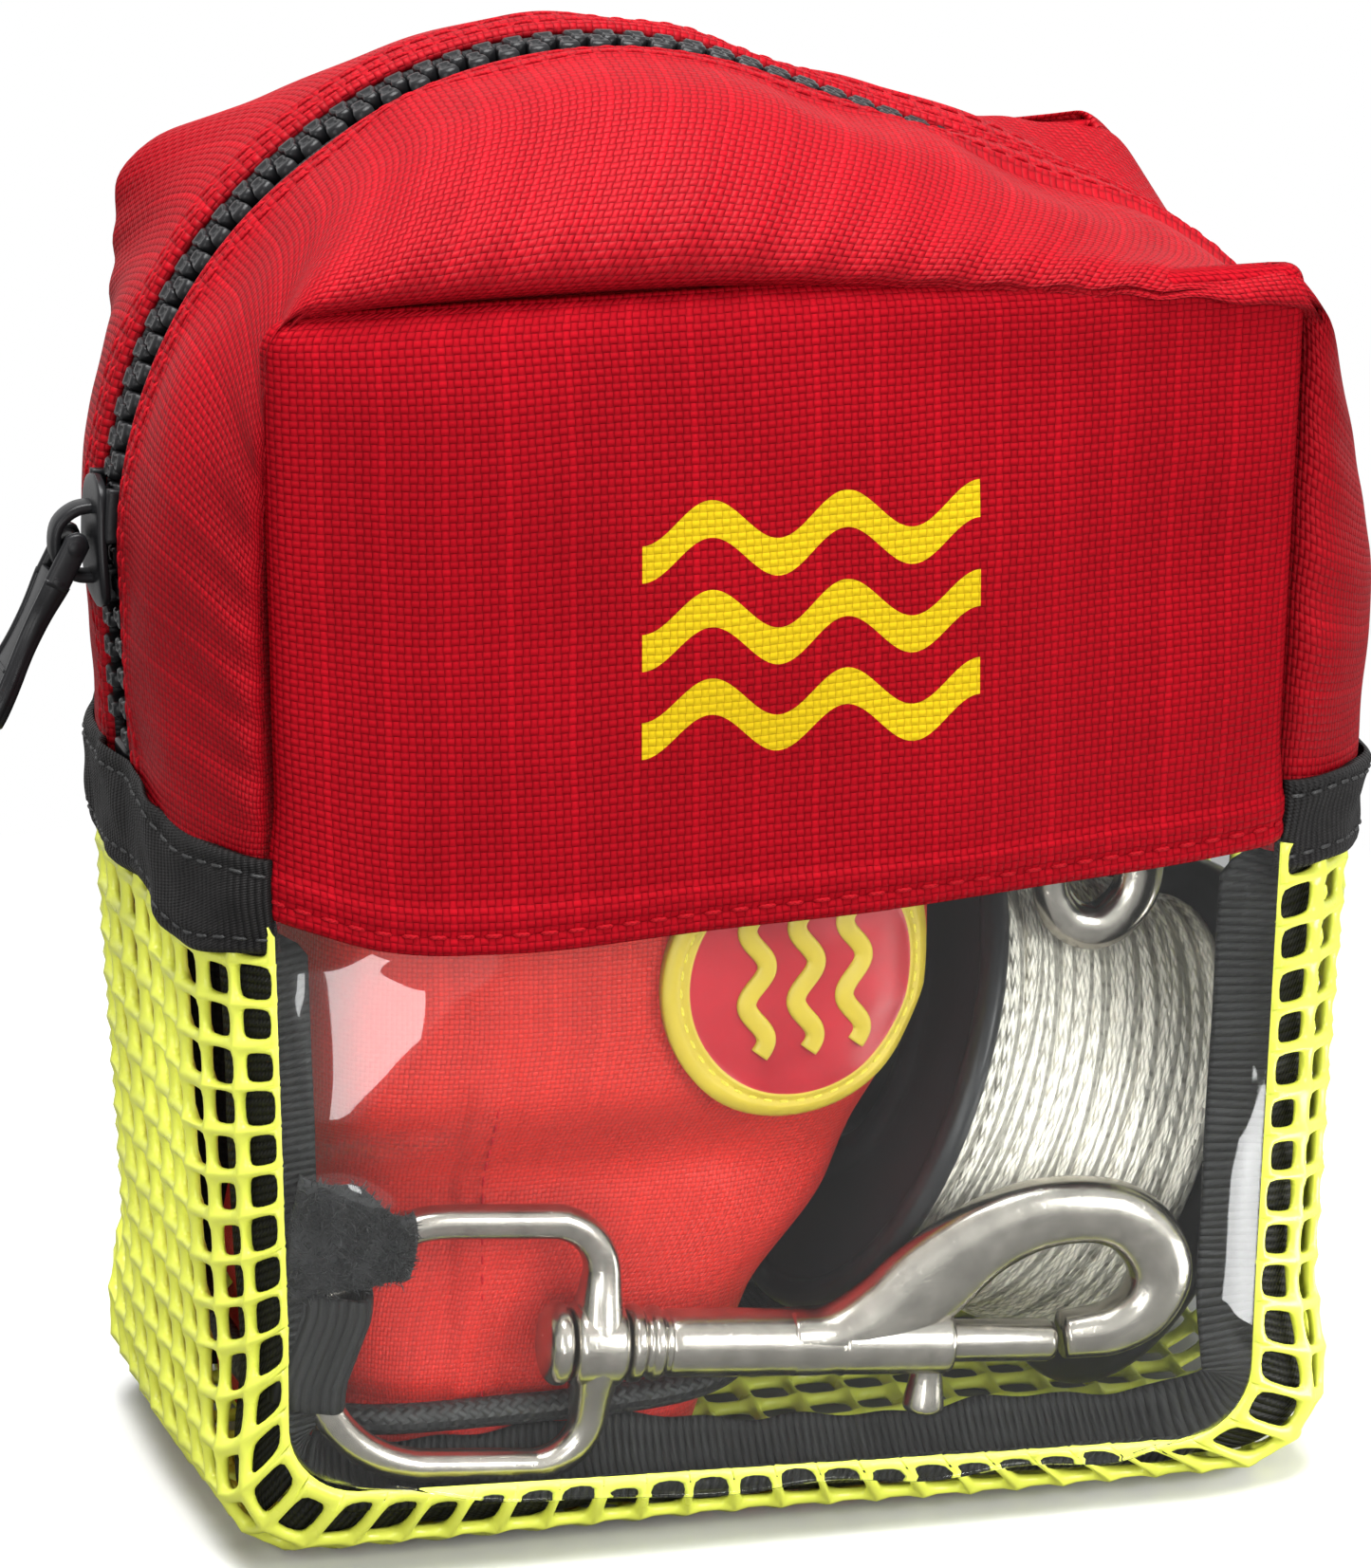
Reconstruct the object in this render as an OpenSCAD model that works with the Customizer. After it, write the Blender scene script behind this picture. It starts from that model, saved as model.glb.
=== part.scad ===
// Zipped kit pouch of red woven nylon with a clear front window and a mesh foot.
// It holds a rolled marker buoy, a finger spool of line, a swivel bolt snap
// and a double ended bolt snap. Units are mm, +Z is up, the front faces -Y.

/* [Pouch] */
// Width of the front panel at its top seam
top_w = 133; // [131:0.5:138]
// Width of the front panel at its foot seam
foot_w = 124.5; // [123:0.5:128]
// Height of the top seam above the ground
seam_top = 162; // [160:0.5:166]
// Height of the foot seam at the left
foot_left = 11.5; // [10:0.5:12.5]
// Height of the foot seam at the right
foot_right = 7; // [6:0.5:8]
// Depth from the front seam to the back seam
depth = 80; // [80:0.5:84]
// How far the front and back panels belly out
face_bulge = 4; // [3:0.5:5]
// How far the red front panel's hem hangs below the join of the gusset
hem_drop = 6; // [2:0.5:10]
// Height of the join between red gusset and mesh
join_z = 88; // [86:0.5:90]

/* [Gusset] */
// How far the belly stands out past the foot seam, left
belly_foot_left = 6.75; // [6:0.25:8]
// How far the belly stands out past the top seam, left, before its corner is rounded
belly_head_left = 13.5; // [12.5:0.5:14.5]
// How far the belly stands out past the foot seam, right
belly_foot_right = 12.75; // [12:0.25:14]
// How far the belly stands out past the top seam, right, before its corner is rounded
belly_head_right = 17; // [16:0.5:18.5]
// Rise of the belly's left corner over the top seam, before it is rounded
crest_rise = 52.5; // [50.5:0.5:54.5]
// Drop of the belly's right corner under the top seam, before it is rounded
crest_drop = 14.5; // [12.5:0.5:16]
// Radius of the bend that the zip takes at the upper left
zip_bend = 59; // [57.5:0.5:60.5]
// Radius of the bend at the upper right
far_bend = 52; // [48:0.5:54]
// Thickness of the woven nylon
cloth_t = 1.2; // [1:0.1:1.4]
// Thickness of the coated mesh
mesh_t = 1.6; // [1.4:0.1:1.8]
// Thickness of the clear window
window_t = 0.5; // [0.4:0.05:0.6]
// Height of the ribbed binding band
binding_h = 12; // [10:0.5:13]
// Thickness of the ribbed binding band
binding_t = 1; // [0.8:0.1:1.2]
// Width of the taped seam inside the pouch
seam_w = 8; // [7.5:0.5:9]

/* [Zip] */
// Pitch of the teeth along one row
tooth_pitch = 3.9; // [3.8:0.05:4.2]
// Length of a tooth along the chain
tooth_l = 1.7; // [1.5:0.05:1.75]
// Thickness of a tooth
tooth_h = 3; // [2.6:0.1:3.2]
// Half width of the slot between the two gussets
slot_half = 5.8; // [5.7:0.1:6.2]
// Half width of the zip tape
tape_half = 12; // [10:0.5:12]
// Length of the slider along the chain
slider_l = 16.4; // [15:0.2:17]
// Width of the slider
slider_w = 10.8; // [10.6:0.1:11]
// Length of the pull tab from its pin
pull_l = 25; // [20:0.5:26]
// How far the pull tab stands out at rest, in degrees
pull_rest = 27; // [20:1:40]

/* [Bolt snap] */
// Half height of the eye at its wire centre
eye_half = 16; // [15:0.5:16.5]
// Radius of the eye's wire
eye_wire = 2.4; // [2.2:0.1:2.5]
// Radius of the snap's barrel
barrel_r = 4.3; // [4:0.1:4.4]
// Radius of the snap's hook bar
hook_bar = 3.7; // [3.4:0.1:3.8]
// Radius of the swivel stud
stud_r = 2.6; // [2.4:0.1:2.8]
// Radius of the gate pin
gate_r = 2.7; // [2.4:0.1:2.8]
// Lean of the snap across the pouch, in degrees
snap_lean = 5; // [3:0.2:5.2]

/* [Contents] */
// Radius of the spool's flanges
spool_r = 35; // [33:0.5:35.5]
// Width of the spool over both flanges
spool_w = 43; // [40:0.5:44]
// Thickness of a flange
flange_t = 3.4; // [3:0.1:4]
// Radius of the wound line
pack_r = 29; // [26:0.5:29.5]
// Radius of the finger hole
finger_r = 12; // [10:0.5:13]
// Lean of the spool's axis, in degrees
spool_lean = 21.5; // [20:0.5:22.5]
// Turn of the spool's axis, in degrees
spool_turn = 4; // [2:0.5:5]
// Height of the rolled buoy
buoy_h = 136; // [128:1:138]
// Radius of the round badge on the buoy
badge_r = 18.5; // [16:0.5:19]
// Radius of the elastic cord round the buoy
elastic_r = 1.9; // [1.5:0.1:2]
// Length of the double ended snap
double_l = 86; // [80:1:88]

/* [Hidden] */
fit = 0.05;
gap = 0.3;
skin = 0.1;
half_d = depth / 2;
foot_bend = 12;
seam_bend_top = 5;
seam_bend_foot = 10;
side_power = 4;
back_power = 2.2;
floor_power = 9;
flat_share = 1.08;
floor_in = mesh_t + gap;

SEAM = loop(
  [[-foot_w / 2, foot_left], [-top_w / 2, seam_top], [top_w / 2, seam_top], [foot_w / 2, foot_right]],
  [seam_bend_foot, seam_bend_top, seam_bend_top, seam_bend_foot]
);
BELLY = loop(
  [
    [-foot_w / 2 - belly_foot_left, 0],
    [-top_w / 2 - belly_head_left, seam_top + crest_rise],
    [top_w / 2 + belly_head_right, seam_top - crest_drop],
    [foot_w / 2 + belly_foot_right, 0]
  ],
  [foot_bend, zip_bend, far_bend, foot_bend]
);

hem_z = join_z - hem_drop;
hem_lap = 8;
gusset_s = concat(
  steps(seam_share(0, join_z + skin), 1, 12),
  [for (k = [1:24]) 1 + k / 24],
  [for (k = [1:12]) 2 + seam_share(2, join_z + skin) * k / 12]
);
front_edge = -(half_d + window_t + skin) / half_d;
slot_v = slot_half / half_d;
front_rows = [-0.97, -0.9, -0.8, -0.66, -0.5, -slot_v];
back_rows = [slot_v, 0.31, 0.44, 0.57, 0.7, 0.83, 0.93, 1];
across = concat([-1], front_rows, back_rows);

// Centre of the zip's bend and the angle at which the slider rests on it
zip_c = BELLY[1][0];
zip_a = BELLY[1][2] + 360 - 2;
chain_off = -tooth_h / 2 - skin;
tape_t = 0.6;
plate_t = 1.5;
plate_gap = 0.7;
slider_half_a = slider_l / 2 / zip_bend * 180 / PI;
pin_off = 4.4;
pin_r = 1.25;
tooth_out = 3.6;
tooth_in = 0.6;
tooth_part = 1.9;
zip_from = belly_at_z(0, join_z + binding_h / 2 + 5);
zip_to = side_sum(BELLY, 0) + side_sum(BELLY, 1) + belly_at_z(2, join_z + binding_h / 2 + 5);
slider_at = side_at_angle(zip_a - 360);

snap_x = -foot_w / 2 + 40.25;
snap_z = 26.2;
snap_y = -half_d + 5.6;
eye_back = -20;
eye_round = 7;
boss_half = 3.4;
boss_r = 5.4;
barrel_end = foot_w * 46 / 124.5;
bore_from = 11;
gate_from = barrel_end - 18;
thumb_at = barrel_end - 2.5;
slot_from = barrel_end - 14;
nose_from = 14.6;
hook_turn = 8.9;
arm_turn = 14;
arm_lift = 36;

spool_p = [foot_w / 2 - 21.25, 1.6, floor_in + 0.2 + spool_w / 2 * sin(spool_lean) + spool_r * cos(spool_lean)];
core_r = 18;
clip_rise = 23.5;
clip_p = [spool_p[0] - 0.5, spool_p[1] - 19.5, spool_p[2] + clip_rise + double_l / 2];
clip_k = 0.72;
clip_end = double_l / 2 - (19 + hook_turn + hook_bar) * clip_k;
clip_barrel = 4;
clip_gate = gate_r * 0.82;
clip_from = 12;

buoy_l = -foot_w / 2 + 4.75;
buoy_r = foot_w / 2 - 37.25;
buoy_back = half_d - 6.4;
buoy_power = 4;
badge_p = [buoy_r - 21, 72];
elastic_z = 17;

// Rounded four-sided loops in the XZ plane, walked clockwise from the lower left
function unit(v) = v / norm(v);
function corner(a, b, c, r) =
  let (
    d1 = unit(a - b),
    d2 = unit(c - b),
    half = acos(d1 * d2) / 2,
    mid = b + unit(d1 + d2) * r / sin(half),
    t1 = b + d1 * r / tan(half),
    t2 = b + d2 * r / tan(half)
  ) [mid, r, atan2(t1[1] - mid[1], t1[0] - mid[0]), 2 * half - 180, t1, t2];
function loop(p, r) = [for (i = [0:3]) corner(p[(i + 3) % 4], p[i], p[(i + 1) % 4], r[i])];
function arc_half(c) = c[1] * abs(c[3]) / 2 * PI / 180;
function side_parts(loop, i) =
  let (a = loop[i], b = loop[(i + 1) % 4]) [arc_half(a), norm(b[4] - a[5]), arc_half(b)];
function side_sum(loop, i) = side_parts(loop, i) * [1, 1, 1];
function on_arc(c, a) = [c[0] + c[1] * [cos(a), sin(a)], [cos(a), sin(a)]];
function on_line(p, w, d) = [p + w * d, [-w[1], w[0]]];
function on_side(loop, i, d) =
  let (a = loop[i], b = loop[(i + 1) % 4], n = side_parts(loop, i))
    d <= n[0] ? on_arc(a, a[2] + a[3] / 2 * (1 + d / n[0]))
    : d <= n[0] + n[1] ? on_line(a[5], unit(b[4] - a[5]), d - n[0])
    : on_arc(b, b[2] + b[3] / 2 * (d - n[0] - n[1]) / n[2]);
function line_at_z(loop, i, z) =
  let (a = loop[i], b = loop[(i + 1) % 4])
    side_parts(loop, i)[0] + (z - a[5][1]) / unit(b[4] - a[5])[1];
function belly_at_z(i, z) = line_at_z(BELLY, i, z);
function seam_share(i, z) = line_at_z(SEAM, i, z) / side_sum(SEAM, i);
function side_at_angle(a) =
  let (n = side_parts(BELLY, 0), c = BELLY[1]) n[0] + n[1] + (c[2] - a) * PI / 180 * c[1];
function along_belly(d) =
  let (a = side_sum(BELLY, 0), b = side_sum(BELLY, 1))
    d < a ? on_side(BELLY, 0, d) : d < a + b ? on_side(BELLY, 1, d - a) : on_side(BELLY, 2, d - a - b);

// The pouch skin between seam and belly: s runs round the loop, v from front seam to back seam
function soft(t) = let (q = min(1, max(0, t))) q * q * (3 - 2 * q);
function boxy(i, t, v) =
  let (
    low = i == 3 ? 1 : i == 0 ? soft(1 - t / 0.14) : i == 2 ? soft(1 - (1 - t) / 0.14) : 0,
    p = v < 0 ? side_power : back_power
  ) p + (floor_power - p) * low;
function swell(i, t, v) = min(1, (1 - pow(abs(v), boxy(i, t, v))) * flat_share);
function belly_share(i, t) =
  let (a = seam_share(i, join_z), b = belly_at_z(i, join_z) / side_sum(BELLY, i))
    i % 2 == 1 ? t : t < a ? t * b / a : b + (t - a) * (1 - b) / (1 - a);
function skin_at(s, v, off) =
  let (
    i = min(3, floor(s)),
    t = s - i,
    a = on_side(SEAM, i, t * side_sum(SEAM, i)),
    b = on_side(BELLY, i, belly_share(i, t) * side_sum(BELLY, i)),
    p = a[0] + off * a[1],
    q = p + (b[0] + off * b[1] - p) * swell(i, t, v)
  ) [q[0], v * half_d, q[1]];
function steps(a, b, n) = [for (k = [0:n]) a + (b - a) * k / n];

// The front and back faces: a runs left to right, q from foot to top
function round_in(h, r) = h < r ? r - sqrt(max(0, r * r - (r - h) * (r - h))) : 0;
function face_z(a, q) =
  let (foot = foot_left + (foot_right - foot_left) * a) foot + (seam_top - foot) * q;
function face_q(a, z) =
  let (foot = foot_left + (foot_right - foot_left) * a) (z - foot) / (seam_top - foot);
function face_at(a, z, off, side) =
  let (
    q = face_q(a, z),
    h = q * (seam_top - foot_left),
    inset = round_in(h, seam_bend_foot) + round_in(seam_top - z, seam_bend_top),
    wide = foot_w / 2 + (top_w - foot_w) / 2 * q - inset,
    belly = face_bulge * (1 - pow(abs(2 * a - 1), 2.5)) * (1 - pow(abs(2 * q - 1), 2.5))
  ) [wide * (2 * a - 1), side * (half_d + off + belly), z];

// A thin closed sheet between two grids of points
module sheet(outer, inner) {
  n = len(outer);
  m = len(outer[0]);
  points = concat([for (r = outer) each r], [for (r = inner) each r]);
  function o(i, j) = i * m + j;
  function u(i, j) = n * m + i * m + j;
  faces = concat(
    [for (i = [0:n - 2], j = [0:m - 2]) [o(i, j), o(i, j + 1), o(i + 1, j + 1), o(i + 1, j)]],
    [for (i = [0:n - 2], j = [0:m - 2]) [u(i, j), u(i + 1, j), u(i + 1, j + 1), u(i, j + 1)]],
    [for (i = [0:n - 2]) [o(i, 0), o(i + 1, 0), u(i + 1, 0), u(i, 0)]],
    [for (i = [0:n - 2]) [o(i, m - 1), u(i, m - 1), u(i + 1, m - 1), o(i + 1, m - 1)]],
    [for (j = [0:m - 2]) [o(0, j), u(0, j), u(0, j + 1), o(0, j + 1)]],
    [for (j = [0:m - 2]) [o(n - 1, j), o(n - 1, j + 1), u(n - 1, j + 1), u(n - 1, j)]]
  );
  polyhedron(points, [for (f = faces) each [[f[0], f[1], f[2]], [f[0], f[2], f[3]]]]);
}

module skin_patch(s, v, off_in, off_out) {
  sheet(
    [for (a = s) [for (b = v) skin_at(a, b, off_out)]],
    [for (a = s) [for (b = v) skin_at(a, b, off_in)]]
  );
}

module face_patch(z_low, z_high, off_in, off_out, ease) {
  a = steps(0, 1, 14);
  q = [for (k = [0:14]) ease(k / 14)];
  function row(k, off) = [for (j = q) face_at(k, z_low(k) + (z_high - z_low(k)) * j, off, -1)];
  sheet([for (k = a) row(k, off_out)], [for (k = a) row(k, off_in)]);
}

// Sheets of the pouch
module front_panel() {
  low = function(a) hem_z;
  color([0.72, 0.05, 0.09])
    face_patch(low, seam_top, window_t + 2 * skin, window_t + 2 * skin + cloth_t, function(k) 1 - pow(1 - k, 2));
}

module window() {
  low = function(a) face_z(a, 0);
  color([0.85, 0.9, 0.92, 0.4])
    face_patch(low, hem_z + hem_lap, skin, skin + window_t, function(k) k * k);
}

module back_panel() {
  a = steps(0, 1, 14);
  q = [for (k = [0:20]) soft(k / 20)];
  color([0.7, 0.05, 0.09])
    sheet(
      [for (b = q) [for (k = a) face_at(k, face_z(k, b), skin + cloth_t, 1)]],
      [for (b = q) [for (k = a) face_at(k, face_z(k, b), skin, 1)]]
    );
}

module gusset_front() {
  color([0.74, 0.06, 0.1])
    skin_patch(gusset_s, concat([front_edge], front_rows), -cloth_t, 0);
}

module gusset_back() {
  color([0.74, 0.06, 0.1])
    skin_patch(gusset_s, back_rows, -cloth_t, 0);
}

module binding(i) {
  a = i + seam_share(i, join_z - binding_h / 2);
  b = i + seam_share(i, join_z + binding_h / 2);
  color([0.07, 0.07, 0.07])
    skin_patch(steps(min(a, b), max(a, b), 3), across, skin, skin + binding_t);
}

module binding_left() {
  binding(0);
}

module binding_right() {
  binding(2);
}

module mesh_left() {
  color([0.82, 0.9, 0.15])
    skin_patch(steps(0.003, seam_share(0, join_z - skin), 15), across, -mesh_t, 0);
}

module mesh_floor() {
  color([0.82, 0.9, 0.15])
    skin_patch(steps(3, 4, 20), across, -mesh_t, 0);
}

module mesh_right() {
  color([0.82, 0.9, 0.15])
    skin_patch(steps(2 + seam_share(2, join_z - skin), 2.997, 15), across, -mesh_t, 0);
}

// Tape inside a seam: a strip along the gusset, next to the face
module seam_tape(v, off) {
  color([0.05, 0.05, 0.05])
    skin_patch(steps(0.004, 3.996, 64), v, off - 0.8, off);
}

module seam_tape_front() {
  v = front_rows[0];
  seam_tape([v, front_rows[1], front_rows[2], v + seam_w / half_d], -mesh_t - gap);
}

module seam_tape_back() {
  v = 0.965;
  seam_tape([v - (seam_w - 0.4) / half_d, 0.83, 0.93, v], -mesh_t - gap - skin);
}

// The zip
function parting(d) = tooth_part * soft((slider_at + 1 - d) / 4);

module zip_tape(side) {
  n = 64;
  d = steps(zip_from - 4, zip_to + 4, n);
  function at(k, y, off) = let (p = along_belly(k), q = p[0] + off * p[1]) [q[0], y, q[1]];
  function inner_y(k) = tooth_out + skin + parting(k - 3);
  function row(k, off) =
    side < 0 ? [at(k, -tape_half, off), at(k, -inner_y(k), off)] : [at(k, inner_y(k), off), at(k, tape_half, off)];
  color([0.06, 0.06, 0.06])
    sheet(
      [for (k = d) row(k, -cloth_t - skin)],
      [for (k = d) row(k, -cloth_t - skin - tape_t)]
    );
}

module zip_tape_front() {
  zip_tape(-1);
}

module zip_tape_back() {
  zip_tape(1);
}

module on_chain(d) {
  p = along_belly(d);
  translate([p[0][0], 0, p[0][1]])
    rotate([0, atan2(p[1][0], p[1][1]), 0])
      children();
}

module teeth(side) {
  shift = side < 0 ? 0 : tooth_pitch / 2;
  count = floor((zip_to - zip_from - tooth_pitch) / tooth_pitch);
  low = side < 0 ? -tooth_out : -tooth_in;
  color([0.05, 0.05, 0.05])
    for (k = [0:count]) {
      d = zip_from + shift + k * tooth_pitch;
      on_chain(d)
        translate([-tooth_l / 2, low + side * parting(d), -skin - tooth_h])
          cube([tooth_l, tooth_out + tooth_in, tooth_h]);
    }
}

module teeth_front() {
  teeth(-1);
}

module teeth_back() {
  teeth(1);
}

module zip_stop(d) {
  color([0.05, 0.05, 0.05])
    on_chain(d)
      translate([-1.5, -tooth_out, -skin - tooth_h])
        cube([3, 2 * tooth_out, tooth_h]);
}

module zip_stop_left() {
  zip_stop(zip_from - 3);
}

module zip_stop_right() {
  zip_stop(zip_to + 3);
}

// A curved block on the zip's bend, from angle a to b, from r_in to r_out, across y_low to y_high
module bent_block(a, b, r_in, r_out, y_low, y_high) {
  translate([zip_c[0], 0, zip_c[1]])
    rotate([90, 0, 0])
      rotate([0, 0, a])
        rotate_extrude(angle = b - a, $fn = 128)
          translate([r_in, -y_high])
            square([r_out - r_in, y_high - y_low]);
}

module slider() {
  a = zip_a - slider_half_a;
  b = zip_a + slider_half_a;
  top = zip_bend + plate_gap;
  low = zip_bend - tooth_h - skin - 0.5;
  lip = 1.1;
  mid = zip_bend - cloth_t - skin;
  color([0.04, 0.04, 0.04])
    difference() {
      union() {
        bent_block(a, b, top, top + plate_t, -slider_w / 2, slider_w / 2);
        bent_block(a, b, low - plate_t, low, -slider_w / 2, slider_w / 2);
        bent_block(zip_a + 3, b, low - 0.5, top + 0.5, -1, 1);
        for (s = [-1, 1]) {
          y = s * (slider_w - lip) / 2;
          bent_block(a, zip_a - 1, mid + 0.4, top + 0.5, y - lip / 2, y + lip / 2);
          bent_block(a, zip_a - 1, low - 0.5, mid - tape_t - 0.4, y - lip / 2, y + lip / 2);
        }
        bent_block(zip_a - 3.2, zip_a + 3.2, top + 0.5, zip_bend + pin_off + 2, -1.5, 1.5);
      }
      translate([zip_c[0], 0, zip_c[1]])
        rotate([90, 0, 0])
          rotate([0, 0, zip_a])
            translate([zip_bend + pin_off, 0, -4])
              cylinder(r = pin_r + fit, h = 8, $fn = 48);
    }
}

module across_y(r, y_low, y_high) {
  translate([0, y_high, 0])
    rotate([90, 0, 0])
      cylinder(r = r, h = y_high - y_low, $fn = 48);
}

module along_x(r, x_low, x_high) {
  translate([x_low, 0, 0])
    rotate([0, 90, 0])
      cylinder(r = r, h = x_high - x_low, $fn = 64);
}

module pull_tab() {
  far = zip_bend + pin_off;
  neck = 5;
  waist = 13;
  end_w = 4.6;
  color([0.04, 0.04, 0.04])
    translate([zip_c[0] + far * cos(zip_a), 0, zip_c[1] + far * sin(zip_a)])
      rotate([0, pull_rest, 0]) {
        across_y(pin_r, -3.2, 3.2);
        for (y = [-3.2, 1.8]) {
          across_y(1.8, y, y + 1.4);
          translate([-1.2, y, -neck - 1])
            cube([2.4, 1.4, neck + 1]);
        }
        translate([-1.2, -3.2, -waist - 0.5])
          cube([2.4, 6.4, waist + 0.5 - neck]);
        translate([-1.2, -end_w, -pull_l + 2])
          cube([2.4, 2 * end_w, pull_l - 2 - waist]);
        translate([-1.2, -end_w + 2, -pull_l])
          cube([2.4, 2 * end_w - 4, 2.5]);
      }
}

// The swivel bolt snap, drawn along X with its hook in the XZ plane
module snap_place() {
  translate([snap_x, snap_y, snap_z])
    rotate([0, snap_lean, 0])
      children();
}

module ring_arc(p, turn, wire, a, b) {
  translate([p[0], 0, p[1]])
    rotate([90, 0, 0])
      rotate([0, 0, a])
        rotate_extrude(angle = b - a, $fn = 96)
          translate([turn, 0])
            circle(r = wire, $fn = 48);
}

module bar(p, q, wire) {
  d = q - p;
  translate([p[0], 0, p[1]])
    rotate([0, atan2(d[0], d[1]), 0])
      cylinder(r = wire, h = norm(d), $fn = 48);
}

module snap_eye() {
  r = eye_round;
  color([0.75, 0.74, 0.72])
    snap_place()
      difference() {
        union() {
          ring_arc([eye_back, 0], eye_half, eye_wire, 90, 270);
          for (s = [-1, 1])
            bar([eye_back, s * eye_half], [-r, s * eye_half], eye_wire);
          ring_arc([-r, eye_half - r], r, eye_wire, 0, 90);
          ring_arc([-r, r - eye_half], r, eye_wire, 270, 360);
          bar([0, r - eye_half], [0, eye_half - r], eye_wire);
          along_x(boss_r, -boss_half, boss_half);
        }
        along_x(stud_r + fit, -10, 10);
      }
}

// The hook of a bolt snap, from the end of its barrel, at scale k
module hook(x, k) {
  top = 2 * hook_turn;
  c = [13, top - arm_turn];
  a = c + arm_turn * [-sin(arm_lift), cos(arm_lift)];
  foot = a - a[1] / sin(arm_lift) * [cos(arm_lift), sin(arm_lift)];
  translate([x, 0, 0])
    scale(k) {
      bar(foot, a + 0.8 * unit(a - foot), hook_bar - fit);
      ring_arc(c, arm_turn, hook_bar, 90, 90 + arm_lift);
      bar([13, top], [19, top], hook_bar);
      ring_arc([19, hook_turn], hook_turn, hook_bar, -90, 90);
      bar([nose_from, 0], [19, 0], hook_bar);
    }
}

module snap_body() {
  color([0.74, 0.73, 0.71])
    snap_place()
      difference() {
        union() {
          along_x(5.2, -boss_half - gap - 3, -boss_half - gap);
          along_x(stud_r, -boss_half - gap - 0.5, boss_half + gap + 0.5);
          along_x(4.9, boss_half + gap, 8);
          along_x(barrel_r, 7.5, barrel_end);
          hook(barrel_end, 1);
        }
        along_x(gate_r + fit, bore_from, barrel_end + nose_from - 0.4);
        translate([slot_from, -2.3, -6])
          cube([20, 4.6, 6]);
      }
}

module thumb_pin(r, wire, h) {
  translate([0, 0, -h])
    cylinder(r = wire, h = h, $fn = 48);
  translate([0, 0, -h - 1])
    cylinder(r = r, h = 3, $fn = 48);
}

module snap_gate() {
  color([0.76, 0.75, 0.73])
    snap_place() {
      along_x(gate_r, gate_from, barrel_end + nose_from - 0.6);
      translate([thumb_at, 0, 0])
        thumb_pin(2.6, 1.9, 8);
    }
}

// A closed coil stands in for the turns of a gate spring
module gate_spring(r, x_low, x_high) {
  color([0.6, 0.6, 0.6])
    difference() {
      along_x(r, x_low, x_high);
      along_x(r - 0.6, x_low - 1, x_high + 1);
    }
}

module snap_spring() {
  snap_place()
    gate_spring(gate_r - 0.15, bore_from + 0.2, gate_from - 0.2);
}

module strap_loop() {
  t = 0.6;
  wide = 14;
  low = eye_back - eye_half - eye_wire - 0.4;
  high = eye_back - eye_half + eye_wire + 2.3;
  y = eye_wire + 0.2;
  color([0.05, 0.05, 0.05])
    snap_place()
      translate([0, 0, -wide / 2]) {
        difference() {
          translate([low - t, -y - t, 0])
            cube([high - low + 2 * t, 2 * y + 2 * t, wide]);
          translate([low, -y, -1])
            cube([high - low, 2 * y, wide + 2]);
        }
        translate([high, y, 1])
          cube([t, 9.2, wide - 2]);
      }
}

module strap_tab() {
  t = 0.6;
  y = eye_wire + 0.2;
  color([0.07, 0.07, 0.07])
    snap_place()
      translate([eye_back - eye_half - 3, -y - t, 7 + skin])
        cube([13, t, 16]);
}

// The rolled buoy: a flattened upright roll whose right side lies along the leaning spool
function spool_axis() =
  [cos(spool_lean) * cos(spool_turn), cos(spool_lean) * sin(spool_turn), -sin(spool_lean)];
function flange_x(z) = spool_p[0] + (-spool_w / 2 + (z - spool_p[2]) * sin(spool_lean)) / spool_axis()[0];
function buoy_right(z) = min(buoy_r, flange_x(z) - 2.5 - 5 * soft((40 - z) / 15));
function buoy_front(z) = -half_d + 12.6 - 7.6 * soft((z - 44) / 16);
function buoy_end(z) = 4 * max(0, 1 - (z - floor_in) / 3) + 4 * max(0, 1 - (floor_in + buoy_h - z) / 3);
function buoy_box(z) =
  let (e = buoy_end(z)) [buoy_l + e, buoy_right(z) - e, buoy_front(z) + e, buoy_back - e];
function power_point(box, a, grow) =
  let (
    e = 2 / buoy_power,
    c = cos(a),
    s = sin(a),
    x = sign(c) * pow(abs(c), e),
    y = sign(s) * pow(abs(s), e)
  ) [(box[0] + box[1]) / 2 + ((box[1] - box[0]) / 2 + grow) * x,
     (box[2] + box[3]) / 2 + ((box[3] - box[2]) / 2 + grow) * y];
function buoy_y(x, z) =
  let (b = buoy_box(z), u = (x - (b[0] + b[1]) / 2) / ((b[1] - b[0]) / 2))
    (b[2] + b[3]) / 2 - (b[3] - b[2]) / 2 * pow(max(0, 1 - pow(abs(u), buoy_power)), 1 / buoy_power);

module buoy_roll() {
  n = 40;
  rise = buoy_h - 6;
  z = concat(
    [floor_in, floor_in + 1],
    steps(floor_in + 3, floor_in + 3 + rise * 0.45, 12),
    steps(floor_in + 3 + rise * 0.55, floor_in + 3 + rise, 4),
    [floor_in + buoy_h - 1, floor_in + buoy_h]
  );
  m = len(z);
  points = [for (h = z) let (b = buoy_box(h)) for (j = [0:n - 1]) concat(power_point(b, 360 * j / n, 0), h)];
  walls = [
    for (i = [0:m - 2], j = [0:n - 1])
      let (k = (j + 1) % n)
        each [[i * n + j, (i + 1) * n + k, i * n + k], [i * n + j, (i + 1) * n + j, (i + 1) * n + k]]
  ];
  ends = [[for (j = [0:n - 1]) j], [for (j = [n - 1:-1:0]) (m - 1) * n + j]];
  color([0.85, 0.16, 0.15])
    polyhedron(points, concat(walls, ends));
}

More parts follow.
